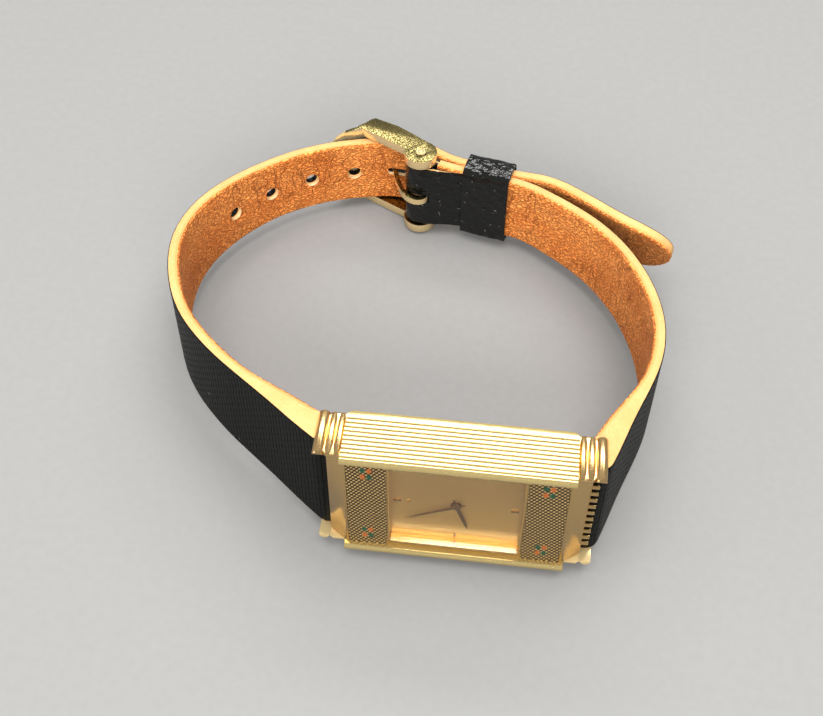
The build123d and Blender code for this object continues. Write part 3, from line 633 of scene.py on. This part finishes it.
def maths(tree, operation, *values):
    return add(tree, "ShaderNodeMath", dict(enumerate(values)), operation=operation).outputs[0]


def mixed(tree, share, one, two):
    # Colours are given as red, green and blue, or come from another node.
    ends = [(*end, 1) if isinstance(end, tuple) else end for end in (one, two)]
    made = add(tree, "ShaderNodeMix", {0: share, 6: ends[0], 7: ends[1]}, data_type="RGBA")
    return made.outputs[2]


def ranged(tree, value, low, high, to_low=0.0, to_high=1.0):
    made = add(
        tree, "ShaderNodeMapRange",
        {"Value": value, "From Min": low, "From Max": high, "To Min": to_low, "To Max": to_high},
        interpolation_type="SMOOTHSTEP")
    return made.outputs[0]


def mapped(tree, place, **change):
    return add(tree, "ShaderNodeMapping", {"Vector": place, **change}).outputs[0]


def pushed(tree, place, push, amount):
    # The place, moved by a push in each direction that is as strong as the amount.
    scaled = add(tree, "ShaderNodeVectorMath", {0: push, "Scale": amount}, operation="SCALE")
    moved = add(tree, "ShaderNodeVectorMath", {0: place, 1: scaled.outputs[0]}, operation="ADD")
    return moved.outputs[0]


def cloud(tree, place, scale, detail, roughness=0.5):
    # Soft noise, in so many waves to one unit of the place, which is a millimetre on the watch.
    made = add(
        tree, "ShaderNodeTexNoise",
        {"Vector": place, "Scale": scale, "Detail": detail, "Roughness": roughness})
    return made.outputs


def cell_edge(tree, place, scale):
    # How far it is to the nearest edge between uneven cells.
    made = add(
        tree, "ShaderNodeTexVoronoi", {"Vector": place, "Scale": scale}, feature="DISTANCE_TO_EDGE")
    return made.outputs["Distance"]


# Effects that several finishes share
def effect(name, amounts, results):
    # A group that is given a place and some amounts, and puts out values that change over it.
    group = bpy.data.node_groups.new(name, "ShaderNodeTree")
    sockets = group.interface
    sockets.new_socket(name="Place", in_out="INPUT", socket_type="NodeSocketVector")
    for label, value in amounts.items():
        made = sockets.new_socket(name=label, in_out="INPUT", socket_type="NodeSocketFloat")
        made.default_value = value
    for label in results:
        sockets.new_socket(name=label, in_out="OUTPUT", socket_type="NodeSocketFloat")
    given = group.nodes.new("NodeGroupInput").outputs
    result = group.nodes.new("NodeGroupOutput").inputs
    return group, given, result


def with_effect(tree, group, inputs):
    return add(tree, "ShaderNodeGroup", inputs, node_tree=group).outputs


def make_pebble():
    # Small pebbles with soft valleys between them, as grained leather has.
    group, given, result = effect(
        "leather_pebble", {"Pebbles per mm": 1.6, "Swirl": 0.5}, ("Height", "Valley"))
    place = given["Place"]
    push = cloud(group, place, 0.9, 2.0)["Color"]
    swirl = add(
        group, "ShaderNodeVectorMath", {0: push, 1: (0.5, 0.5, 0.5)}, operation="SUBTRACT")
    swirled = pushed(group, place, swirl.outputs[0], given["Swirl"])
    dome = ranged(group, cell_edge(group, swirled, given["Pebbles per mm"]), 0.0, 0.22)
    fine = cloud(group, place, 7.0, 3.0)["Fac"]
    join(group, maths(group, "MULTIPLY_ADD", fine, 0.35, dome), result["Height"])
    join(group, maths(group, "SUBTRACT", 1.0, dome), result["Valley"])
    return group


def make_creases():
    # Lines across the leather where it has been bent again and again.
    group, given, result = effect("bend_creases", {"Amount": 0.5}, ("Depth",))
    place = given["Place"]
    warped = pushed(group, place, cloud(group, place, 0.35, 3.0)["Color"], 3.2)
    long_cells = mapped(group, warped, Scale=(0.62, 0.13, 0.13))
    line = ranged(group, cell_edge(group, long_cells, 1.0), 0.0, 0.05, 1.0, 0.0)
    here = ranged(group, cloud(group, place, 0.16, 1.0)["Fac"], 0.46, 0.6)
    depth = maths(group, "MULTIPLY", line, here)
    join(group, maths(group, "MULTIPLY", depth, given["Amount"]), result["Depth"])
    return group


def make_scales():
    # Small flat scales in rows across the strap, as on lizard skin.
    group, given, result = effect("lizard_scales", {"Row": 0.8}, ("Height", "Groove"))
    place = given["Place"]
    warped = pushed(group, place, cloud(group, place, 0.8, 2.0)["Color"], 0.35)
    rows = add(
        group, "ShaderNodeTexBrick",
        {"Vector": mapped(group, warped, Rotation=(0, 0, quarter)), "Scale": 1.0,
         "Mortar Size": 0.1, "Mortar Smooth": 1.0, "Brick Width": 1.15, "Row Height": given["Row"]},
        offset=0.5)
    groove = rows.outputs["Fac"]
    scale = maths(group, "SUBTRACT", 1.0, groove)
    fine = cloud(group, place, 5.0, 3.0)["Fac"]
    join(group, maths(group, "MULTIPLY_ADD", fine, 0.3, scale), result["Height"])
    join(group, groove, result["Groove"])
    return group


def make_brush():
    # Fine lines left by a brush or a cutter, along the first axis of the place it is given.
    group, given, result = effect("brushed_lines", {"Lines per mm": 9.0}, ("Streak", "Height"))
    place = given["Place"]
    drawn_out = mapped(group, place, Scale=(0.035, 1, 1))
    fine = cloud(group, drawn_out, given["Lines per mm"], 4.0, 0.65)["Fac"]
    broad = cloud(group, place, 0.35, 3.0)["Fac"]
    fine_share = 0.6
    streak = maths(
        group, "ADD", maths(group, "MULTIPLY", fine, fine_share),
        maths(group, "MULTIPLY", broad, 1 - fine_share))
    join(group, streak, result["Streak"])
    join(group, fine, result["Height"])
    return group


def make_dust():
    # Loose specks and lint, few and small.
    group, given, result = effect("dust_specks", {"Specks per mm": 1.0, "Amount": 0.5}, ("Speck",))
    place = given["Place"]
    cells = add(group, "ShaderNodeTexVoronoi", {"Vector": place, "Scale": given["Specks per mm"]})
    dot = ranged(group, cells.outputs["Distance"], 0.05, 0.13, 1.0, 0.0)
    here = ranged(group, cloud(group, place, 0.7, 2.0)["Fac"], 0.56, 0.66)
    speck = maths(group, "MULTIPLY", dot, here)
    join(group, maths(group, "MULTIPLY", speck, given["Amount"]), result["Speck"])
    return group


pebble = make_pebble()
creases = make_creases()
scales = make_scales()
brush = make_brush()
dust = make_dust()


# Finishes
def new_finish(name, **constants):
    material = bpy.data.materials.new(name)
    material.use_nodes = True
    tree = material.node_tree
    shader = tree.nodes["Principled BSDF"]
    for label, value in constants.items():
        shader.inputs[label.replace("_", " ")].default_value = value
    return material, tree, shader


def case_place(tree):
    # Millimetres in the case's own frame, from the place on the standing watch.
    source = tree.nodes.new("ShaderNodeTexCoord")
    back = Matrix.Rotation(lean, 4, "X") @ seat
    return mapped(
        tree, source.outputs["Object"], Scale=(1000, 1000, 1000), Rotation=(lean, 0, 0),
        Location=(-back.x, -back.y, -back.z))


def flat_place(tree):
    return add(tree, "ShaderNodeUVMap", None, uv_map="flat").outputs[0]


def feed(tree, shader, colour, roughness, height, relief):
    # Gives the shader what changes over the surface. The relief is in metres.
    if colour is not None:
        join(tree, colour, shader.inputs["Base Color"])
    if roughness is not None:
        join(tree, roughness, shader.inputs["Roughness"])
    bump = add(tree, "ShaderNodeBump", {"Height": height, "Distance": relief})
    join(tree, bump.outputs[0], shader.inputs["Normal"])


def metal(
        name, bright, dull, smoothest, roughest, lines=9.0, relief=0.000002, turn=(0, 0, 0),
        specks=0.0, metallic=1.0):
    # Brushed or polished metal. Less than fully metallic, it also shows its colour in soft light.
    material, tree, shader = new_finish(name, Metallic=metallic)
    place = case_place(tree)
    brushed = with_effect(
        tree, brush, {"Place": mapped(tree, place, Rotation=turn), "Lines per mm": lines})
    specked = with_effect(tree, dust, {"Place": place, "Specks per mm": 1.6, "Amount": specks})
    colour = mixed(tree, brushed["Streak"], bright, dull)
    colour = mixed(tree, specked["Speck"], colour, (0.75, 0.7, 0.6))
    roughness = ranged(tree, brushed["Streak"], 0.3, 0.7, smoothest, roughest)
    feed(tree, shader, colour, roughness, brushed["Height"], relief)
    return material


def plain(name, colour, roughness, metallic=0.0, scale=2.0):
    # A moulded or cast surface with slight mottling.
    mottling = 0.2
    material, tree, shader = new_finish(name, Metallic=metallic)
    mottled = cloud(tree, case_place(tree), scale, 4.0)["Fac"]
    darker = tuple(part * (1 - mottling) for part in colour)
    rougher = min(roughness * (1 + mottling), 1)
    spread = ranged(tree, mottled, 0.3, 0.7, roughness * (1 - mottling), rougher)
    feed(tree, shader, mixed(tree, mottled, colour, darker), spread, mottled, 0.000004)
    return material


def make_lizard():
    # Black skin whose scales are glossier than the grooves between them, with a little dust.
    material, tree, shader = new_finish("black_leather", Specular_IOR_Level=0.12)
    place = flat_place(tree)
    skin = with_effect(tree, scales, {"Place": place, "Row": 0.6})
    specked = with_effect(tree, dust, {"Place": place, "Specks per mm": 0.8, "Amount": 0.55})
    colour = mixed(tree, skin["Groove"], (0.0045, 0.0048, 0.0046), (0.0012, 0.0012, 0.0012))
    colour = mixed(tree, specked["Speck"], colour, (0.5, 0.48, 0.45))
    roughness = ranged(tree, skin["Groove"], 0.0, 1.0, 0.34, 0.62)
    feed(tree, shader, colour, roughness, skin["Height"], 0.00007)
    return material


def make_lining(name, light, dark, valley, rough, relief):
    # Grained leather, paler and darker in patches, with creases where it bends.
    material, tree, shader = new_finish(name, Specular_IOR_Level=0.25)
    place = flat_place(tree)
    drawn_out = mapped(tree, place, Scale=(0.42, 1.0, 1.0))
    grain = with_effect(tree, pebble, {"Place": drawn_out, "Pebbles per mm": 3.6, "Swirl": 1.2})
    crease = with_effect(tree, creases, {"Place": place, "Amount": 1.0})["Depth"]
    patches = ranged(tree, cloud(tree, place, 0.22, 5.0)["Fac"], 0.35, 0.65)
    colour = mixed(tree, patches, light, dark)
    colour = mixed(tree, maths(tree, "MULTIPLY", grain["Valley"], 0.62), colour, valley)
    colour = mixed(tree, maths(tree, "MULTIPLY", crease, 0.55), colour, valley)
    roughness = ranged(tree, grain["Valley"], 0.0, 1.0, rough, rough + 0.2)
    height = maths(tree, "SUBTRACT", grain["Height"], maths(tree, "MULTIPLY", crease, 0.9))
    feed(tree, shader, colour, roughness, height, relief)
    return material


def make_patent():
    # Glossy lacquered leather, crinkled, with pale cracks where the lacquer is worn; the pale marks
    # are also painted highlights that stand for glints on the crinkles.
    material, tree, shader = new_finish("patent_leather", IOR=1.55)
    place = flat_place(tree)
    crinkle = cloud(tree, place, 0.9, 2.0)["Fac"]
    line = ranged(tree, cell_edge(tree, place, 0.9), 0.0, 0.025, 1.0, 0.0)
    wear_and_glint = ranged(tree, crinkle, 0.62, 0.72)
    # Pale marks along the crinkles' cell edges: worn cracks and painted glints together.
    crack_and_glint = maths(tree, "MULTIPLY", maths(tree, "MULTIPLY", line, wear_and_glint), 0.45)
    colour = mixed(tree, crack_and_glint, (0.003, 0.0033, 0.003), (0.6, 0.58, 0.54))
    feed(tree, shader, colour, ranged(tree, crinkle, 0.3, 0.7, 0.05, 0.11), crinkle, 0.0004)
    return material


def make_panel():
    # Close diagonal weave cut into the gold of the end panels, as two sets of waves, each with
    # its turn and its pitch in millimetres.
    material, tree, shader = new_finish("panel_gold", Metallic=0.55)
    place = case_place(tree)
    one_wave = 0.314    # the pitch of a wave texture whose scale is 1
    bands = []
    for turn, pitch in ((0.95, 0.46), (-0.62, 0.4)):
        wave = add(
            tree, "ShaderNodeTexWave",
            {"Vector": mapped(tree, place, Rotation=(0, turn, 0)), "Scale": one_wave / pitch,
             "Distortion": 0.5, "Detail": 1.0, "Detail Scale": 2.0},
            bands_direction="X", wave_profile="SIN")
        bands.append(wave.outputs["Fac"])
    raised = ranged(tree, maths(tree, "MULTIPLY", *bands), 0.12, 0.5)
    gold = mixed(tree, cloud(tree, place, 1.3, 3.0)["Fac"], (0.82, 0.58, 0.26), (0.60, 0.41, 0.17))
    colour = mixed(tree, raised, (0.05, 0.03, 0.012), gold)
    feed(tree, shader, colour, ranged(tree, raised, 0.0, 1.0, 0.6, 0.24), raised, 0.00005)
    return material


def make_enamel(name, one, two):
    # Fired enamel in a small chequer of two shades, flat and glossy.
    material, tree, shader = new_finish(
        name, Coat_Weight=0.1, Coat_Roughness=0.08, Roughness=0.3, Specular_IOR_Level=0.2)
    place = case_place(tree)
    turned = mapped(tree, place, Rotation=(0, quarter / 2, 0))
    chequer = add(tree, "ShaderNodeTexChecker", {"Vector": turned, "Scale": 3.4}).outputs["Fac"]
    clouded = cloud(tree, place, 5.0, 2.0)["Fac"]
    colour = mixed(tree, chequer, one, two)
    colour = mixed(tree, maths(tree, "MULTIPLY", clouded, 0.25), colour, (0.1, 0.08, 0.05))
    feed(tree, shader, colour, None, clouded, 0.000006)
    return material


def make_crystal():
    # Mineral glass, clear, with a faint smear of handling.
    material, tree, shader = new_finish(
        "crystal", Transmission_Weight=1.0, IOR=1.5, Metallic=0.0, Base_Color=(0.97, 0.97, 0.96, 1))
    smear = cloud(tree, case_place(tree), 0.5, 5.0)["Fac"]
    feed(tree, shader, None, ranged(tree, smear, 0.45, 0.75, 0.015, 0.09), smear, 0.000002)
    return material


def make_scuffed():
    # Gilt worn and pitted by handling: dark flecks and scratches in a bright ground.
    material, tree, shader = new_finish("buckle_gold", Metallic=1.0)
    place = case_place(tree)
    fine = cloud(tree, place, 4.2, 5.0, 0.65)["Fac"]
    ground = ranged(tree, fine, 0.42, 0.60)
    gold = mixed(tree, cloud(tree, place, 0.5, 3.0)["Fac"], (0.50, 0.41, 0.17), (0.36, 0.29, 0.11))
    colour = mixed(tree, ground, (0.09, 0.073, 0.025), gold)
    feed(tree, shader, colour, ranged(tree, ground, 0.0, 1.0, 0.5, 0.24), fine, 0.00001)
    return material


def make_dial():
    # Gilt dial, finely grained, with painted shade: browner and darker towards the rail that shades
    # it.
    material, tree, shader = new_finish("dial_gold", Metallic=0.7)
    place = case_place(tree)
    grain = cloud(tree, mapped(tree, place, Scale=(1.0, 1.0, 12.0)), 1.5, 5.0)["Fac"]
    level = add(tree, "ShaderNodeSeparateXYZ", {"Vector": place}).outputs["Z"]
    # Painted shade: the dial's colour darkens from its lower part up towards the rail.
    colour = mixed(tree, ranged(tree, level, 4.6, 12.6), (0.76, 0.49, 0.14), (0.66, 0.42, 0.13))
    colour = mixed(tree, maths(tree, "MULTIPLY", grain, 0.3), colour, (0.55, 0.34, 0.14))
    feed(tree, shader, colour, ranged(tree, grain, 0.3, 0.7, 0.34, 0.46), grain, 0.000002)
    return material


finish = {
    "case_gold": metal("case_gold", (0.94, 0.65, 0.30), (0.88, 0.58, 0.25), 0.16, 0.27, specks=0.1),
    "fluted_gold": metal(
        "fluted_gold", (1.0, 0.78, 0.34), (0.98, 0.76, 0.33), 0.17, 0.22, relief=0.0000005,
        metallic=0.9),
    # A lighter, less metallic copy of the case gold: painted light for the lower lugs in the table's
    # shade.
    "lug_gold": metal("lug_gold", (0.96, 0.74, 0.38), (0.90, 0.68, 0.32), 0.16, 0.24, metallic=0.7),
    "buckle_gold": make_scuffed(),
    "brass_works": metal("brass_works", (0.80, 0.62, 0.32), (0.68, 0.50, 0.24), 0.25, 0.4),
    "dial_gold": make_dial(),
    "panel_gold": make_panel(),
    "hand_gold": metal("hand_gold", (0.42, 0.25, 0.09), (0.34, 0.19, 0.07), 0.2, 0.3, lines=16.0),
    "enamel_rust": make_enamel("enamel_rust", (0.33, 0.075, 0.014), (0.40, 0.11, 0.022)),
    "enamel_green": make_enamel("enamel_green", (0.002, 0.045, 0.024), (0.004, 0.07, 0.036)),
    "crystal": make_crystal(),
    "gasket": plain("gasket", (0.30, 0.19, 0.07), 0.6),
    "steel": metal("steel", (0.72, 0.72, 0.72), (0.58, 0.58, 0.58), 0.2, 0.38),
    "copper_coil": metal(
        "copper_coil", (0.80, 0.36, 0.18), (0.62, 0.25, 0.12), 0.25, 0.4, lines=16.0,
        turn=(0, 0, quarter)),
    "magnet": plain("magnet", (0.09, 0.09, 0.10), 0.45, metallic=0.6),
    "board": plain("board", (0.02, 0.16, 0.09), 0.45, scale=4.0),
    "holder_plastic": plain("holder_plastic", (0.75, 0.73, 0.68), 0.5),
    "black_leather": make_lizard(),
    "tan_lining": make_lining(
        "tan_lining", (0.95, 0.35, 0.085), (0.84, 0.27, 0.058), (0.36, 0.075, 0.014), 0.42,
        0.00022),
    "patent_leather": make_patent(),
}
cut_edge = make_lining(
    "cut_edge", (0.56, 0.30, 0.10), (0.53, 0.27, 0.085), (0.50, 0.24, 0.075), 0.5, 0.000004)
core_edge = make_lining(
    "core_edge", (0.62, 0.37, 0.15), (0.56, 0.32, 0.12), (0.52, 0.29, 0.11), 0.6, 0.000004)
# Walls of the lining's holes: raw punched leather, paler than the cut edges, and lighter still with
# painted light, as where a hole's lower wall is lit.
punched_edge = make_lining(
    "punched_edge", (0.86, 0.62, 0.36), (0.80, 0.55, 0.30), (0.66, 0.42, 0.20), 0.6, 0.000004)
bright_gilt = metal("bright_gilt", (0.97, 0.76, 0.42), (0.90, 0.68, 0.34), 0.2, 0.3, metallic=0.75)

# Each solid takes the finish of its slot. The lower lugs, which the table shades, have a lighter,
# less metallic copy of the case gold, a painted light in place of the light that they miss.
painted_lit_lugs = ("lug_12_lower", "lug_6_lower")
for node in frame["nodes"].values():
    for place in node.material_slots:
        name = place.material.name.split(".")[0] if place.material else ""
        if node.name in painted_lit_lugs:
            place.material = finish["lug_gold"]
        elif name in finish:
            place.material = finish[name]

# The leather pieces
black = finish["black_leather"]
tan = finish["tan_lining"]
patent = finish["patent_leather"]

long_piece = Way("long_way", long_way())
short_piece = Way("short_way", short_way())
fold_piece = Way("fold_way", fold_way())


def hole_places():
    # Along the long piece: the slot, where the tang goes through, and the holes on both its sides.
    tang_crosses = from_pin([(-0.315, 0.258)])[0]
    slot_place = long_piece.nearest(tang_crosses) + tang_swing_room
    steps = [i for i in range(-holes_before_tang, holes_after_tang + 1) if i != 0]
    return slot_place, [slot_place + i * hole_pitch for i in steps]


def punches(wall, radius):
    # Round punches for the holes and a long one for the tang's slot, in one cutter.
    punch_length = 8
    slot_place, places = hole_places()
    clear()
    tools = []
    for place in places:
        bpy.ops.mesh.primitive_cylinder_add(
            vertices=32, radius=radius, depth=punch_length, location=(place, 0, buckle_height),
            rotation=(quarter, 0, 0))
        tools.append(bpy.context.object)
    bpy.ops.mesh.primitive_cube_add(
        size=1, location=(slot_place, 0, buckle_height),
        scale=(tang_slot, punch_length, tang_slot_height))
    slot_tool = bpy.context.object
    bpy.ops.object.transform_apply(location=False, rotation=False, scale=True)
    open_mesh(slot_tool, "EDGE")
    pick(slot_tool, "edges", lambda e: abs(e.verts[0].co.y - e.verts[1].co.y) > 1)
    bpy.ops.mesh.bevel(offset=tang_slot_height * 0.49, segments=6, affect="EDGES")
    close_mesh()
    tools.append(slot_tool)
    clear()
    for tool in tools:
        tool.select_set(True)
    bpy.context.view_layer.objects.active = tools[0]
    bpy.ops.object.join()
    cutter = bpy.context.object
    bpy.ops.object.transform_apply(location=True, rotation=True, scale=True)
    for face in cutter.data.polygons:
        face.material_index = wall
    return cutter


def twist_tail(piece):
    # Past the keeper the free end turns about its upper edge, the lower one away from the wrist.
    start = long_piece.nearest(keeper_point(tail_layer, keeper_width / 2))
    top = buckle_height + buckle_width / 2
    for corner in piece.data.vertices:
        share = (corner.co.x - start) / (long_piece.length - start)
        if share > 0:
            angle = tail_twist * share * (2 - share)
            across = corner.co.z - top
            through = corner.co.y
            corner.co.y = through * math.cos(angle) - across * math.sin(angle)
            corner.co.z = top + across * math.cos(angle) + through * math.sin(angle)


def strap_layers(label, way, outline, outward):
    # The outer leather with its thin dark skin over a paler core, and the lining.
    end = way.length
    outer = leather_layer(
        label + "_skin", stations(-1, end, outline.tip),
        [seam, lambda d: half_thickness(d) - skin_thickness, half_thickness],
        outline, (0.0, edge_round), ([1, 0], 1, 0), outward)
    lining = leather_layer(
        label + "_inside", stations(lining_start + lining_setback, end, outline.tip),
        [lambda d: -half_thickness(d), seam],
        outline, (lining_round, 0.0), ([1], 0, 0), outward)
    give_slots(outer, (black, core_edge))
    give_slots(lining, (tan, cut_edge))
    return outer, lining


def lay(piece, way):
    bend(piece, way)
    stand_up(piece)


def make_long_strap():
    outline = Outline(long_piece, long_parallel_share * long_piece.length, True)
    outer, lining = strap_layers("strap_long", long_piece, outline, 1)
    give_slots(lining, (punched_edge,))
    for piece, wall, radius in ((outer, 0, hole_radius), (lining, 2, lining_hole_radius)):
        cut_out(piece, punches(wall, radius))
        chart(piece, flat_strip)
        twist_tail(piece)
        lay(piece, long_piece)
    finished(outer, "watch", ["strap_long_outer"])
    finished(lining, "watch", ["strap_long_lining"])


def make_short_strap():
    outline = Outline(short_piece, short_piece.length, False)
    outer, lining = strap_layers("strap_short", short_piece, outline, -1)
    for piece in (outer, lining):
        chart(piece, flat_strip)
        lay(piece, short_piece)
    finished(outer, "watch", ["strap_short_outer"])
    finished(lining, "watch", ["strap_short_lining"])


def make_fold():
    # Thick round the pin, pared to a thin tongue where the keeper passes over it.
    end = fold_piece.length
    pared_from, pared_to = [end - length for length in pared_lengths]

    def half_wall(distance):
        pared = eased(distance, pared_from, pared_to)
        return (fold_wall + (flap_end_thickness - fold_wall) * pared) / 2

    levels = [
        lambda d: -half_wall(d), lambda d: -min(fold_core, half_wall(d) / 3),
        lambda d: min(fold_core, half_wall(d) / 3), half_wall]
    fold = leather_layer(
        "strap_fold", stations(0, end, False), levels,
        Parallel(buckle_width / 2 - fold_edge_room, buckle_height),
        (fold_round, fold_round), ([0, 1, 0], 0, 0), 1, 0.0)
    give_slots(fold, (patent, core_edge))
    chart(fold, flat_strip)
    bend(fold, fold_piece)
    reach = 2 * fold_radius
    half_slot = tang_slot_height / 2
    cutter = block(
        "slot_tool", (pin.x - reach, pin.y - reach, buckle_height - half_slot),
        (pin.x + fold_slot_reach, pin.y + reach, buckle_height + half_slot))
    cut_out(fold, cutter)
    stand_up(fold)
    finished(fold, "watch", ["strap_short_fold"])


def make_keeper():
    # A loop of patent leather round both layers, crinkled where it turns over their edges.
    half_x = keeper_width / 2
    half_z = buckle_width / 2 + keeper_gap + keeper_wall
    low = -strap_thickness / 2 - keeper_gap - keeper_wall
    high = tail_layer + strap_thickness / 2 + keeper_gap + keeper_wall
    loop = block("keeper_loop", (-half_x, low, -half_z), (half_x, high, half_z))
    open_mesh(loop, "EDGE")
    pick(loop, "edges", lambda e: abs(e.verts[0].co.x - e.verts[1].co.x) > 1)
    bpy.ops.mesh.bevel(offset=keeper_corner, segments=5, affect="EDGES")
    close_mesh()
    open_mesh(loop, "FACE")
    pick(loop, "faces", lambda f: abs(f.normal.x) > upright)
    bpy.ops.mesh.delete(type="FACE")
    close_mesh()
    for axis, count in keeper_cuts:
        cut_across(loop, axis, count)
    chart(loop, flat_loop)
    middle = (low + high) / 2
    for corner in loop.data.vertices:
        at_end = min(max((abs(corner.co.z) - half_z + keeper_end) / keeper_end, 0), 1)
        dome = 1 - ((corner.co.y - middle) / (high - middle)) ** 2
        corner.co.z += math.copysign(keeper_dome * at_end * max(dome, 0), corner.co.z)
        crinkle = sum(noise.noise(corner.co * pace) * share for pace, share in keeper_waves)
        away = corner.normal * crinkle * (keeper_crinkle + keeper_end_crinkle * at_end)
        corner.co += Vector((0, away.y, away.z))
    use(loop, "SOLIDIFY", thickness=keeper_wall * 0.9, offset=-1)
    use(loop, "BEVEL", width=0.12, segments=2, limit_method="ANGLE", angle_limit=math.radians(50))
    centre = keeper_point(0, 0)
    moved = Matrix.Translation((centre.x, centre.y, buckle_height))
    loop.data.transform(moved @ Matrix.Rotation(keeper_turn, 4, "Z"))
    stand_up(loop)
    give_slots(loop, (patent,))
    finished(loop, "watch", ["keeper"], 50)


make_long_strap()
make_short_strap()
make_fold()
make_keeper()
for way in (long_piece, short_piece, fold_piece):
    remove(way.object)


def make_pin_head():
    # The buckle pin's riveted end, turned with a ring.
    height = buckle_height + buckle_width / 2 + frame_gap + frame_thickness
    clear()
    bpy.ops.mesh.primitive_cylinder_add(
        vertices=48, radius=pin_head_radius, depth=pin_head_depth,
        location=(pin.x, pin.y, height - pin_head_sunk))
    head = bpy.context.object
    head.name = "buckle_pin_head"
    head.data.name = head.name
    bpy.ops.object.transform_apply(location=True, rotation=True, scale=True)

    def on_top(face):
        return face.normal.z > upright and face.calc_area() > 0.05 and len(face.verts) > 8

    for inset, rise in pin_head_rings:
        open_mesh(head, "FACE")
        pick(head, "faces", on_top)
        bpy.ops.mesh.inset(thickness=inset)
        bpy.ops.mesh.extrude_region_move(TRANSFORM_OT_translate={"value": (0, 0, rise)})
        close_mesh()
    merge(head, same_place)
    face_outwards(head)
    stand_up(head)
    give_slots(head, (bright_gilt,))
    finished(head, frame["nodes"]["buckle_frame"]["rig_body"], [], 30)


make_pin_head()

# Metal: how wide each edge is broken, in millimetres
for name, width in (
        ("bezel_frame", 0.07), ("case_middle", 0.16), ("side_rail_9", 0.02), ("side_rail_3", 0.02),
        ("lug_12_upper", 0.1), ("lug_12_lower", 0.1), ("lug_6_upper", 0.1), ("lug_6_lower", 0.1),
        ("dial_ring", 0.05), ("case_back", 0.08), ("crown", 0.05)):
    softened(name, width)
for name, width in (("buckle_frame", 0.16), ("buckle_tang", 0.1)):
    softened(name, width, bright_gilt)

# Table, light and camera
clear()
bpy.ops.mesh.primitive_plane_add(size=3.0, location=(0, 0, 0))
table = bpy.context.object
table.name = "table_top"
table_finish, tree, shader = new_finish("table_paper", Specular_IOR_Level=0.1)
source = tree.nodes.new("ShaderNodeTexCoord")
paper = cloud(tree, source.outputs["Object"], 900.0, 3.0)["Fac"]
seen = mixed(tree, paper, (0.225, 0.225, 0.223), (0.205, 0.205, 0.203))
# Painted shade for the bounce light: the table is mid grey to the camera, darker in reflections and
# in the light that it throws back onto the watch.
ray = tree.nodes.new("ShaderNodeLightPath")
colour = mixed(tree, ray.outputs["Is Camera Ray"], (0.12, 0.12, 0.12), seen)
join(tree, colour, shader.inputs["Base Color"])
join(tree, ranged(tree, paper, 0.3, 0.7, 0.75, 0.9), shader.inputs["Roughness"])
table.data.materials.append(table_finish)


def lamp(name, place, aim, size, power, colour, mirrored=True):
    # A soft rectangular light. One that isn't mirrored doesn't show in polished metal.
    light = bpy.data.lights.new(name, "AREA")
    light.shape = "RECTANGLE"
    light.size, light.size_y = size
    light.energy = power
    light.color = colour
    made = bpy.data.objects.new(name, light)
    bpy.context.collection.objects.link(made)
    made.location = place
    made.rotation_euler = (Vector(aim) - Vector(place)).to_track_quat("-Z", "Y").to_euler()
    made.visible_glossy = mirrored


lamp("overhead", (0.03, -0.02, 0.60), (0, 0, 0), (0.60, 0.50), 6.6, (1.0, 0.99, 0.97), False)
lamp(
    "front_fill", (0.05, -0.55, 0.35), (0, 0, 0.01), (0.60, 0.30), 6.0, (1.0, 0.98, 0.95), False)
lamp("back_window", (0.02, 0.34, 0.42), (0, -0.02, 0.01), (0.60, 0.12), 1.75, (1.0, 0.99, 0.96))
lamp("left_window", (-0.50, -0.10, 0.30), (0, 0, 0.01), (0.40, 0.30), 0.9, (0.98, 0.99, 1.0))

world = bpy.data.worlds.new("studio")
bpy.context.scene.world = world
world.use_nodes = True
sky = world.node_tree.nodes["Background"]
sky.inputs["Color"].default_value = (0.84, 0.83, 0.81, 1)
sky.inputs["Strength"].default_value = 0.38

# The photograph's camera, measured in the case's frame
camera_place = Vector((3.552, -76.008, 129.234))
camera_right = Vector((0.99303, 0.11773, 0.00531))
camera_down = Vector((0.09423, -0.76616, -0.63571))
camera_ahead = Vector((-0.07077, 0.63178, -0.77191))
picture_width = 823
focal_pixels = 1273.9
sensor_width = 36.0
lens = bpy.data.cameras.new("camera")
lens.sensor_width = sensor_width
lens.sensor_fit = "HORIZONTAL"
lens.lens = focal_pixels / picture_width * sensor_width
lens.clip_start = 0.01
lens.clip_end = 10
camera = bpy.data.objects.new("camera", lens)
bpy.context.collection.objects.link(camera)
axes = Matrix((camera_right, -camera_down, -camera_ahead)).transposed().to_4x4()
camera.matrix_world = Matrix.Translation(stand @ camera_place) @ turned_back @ axes
bpy.context.scene.camera = camera

bpy.context.scene.view_settings.view_transform = "Standard"
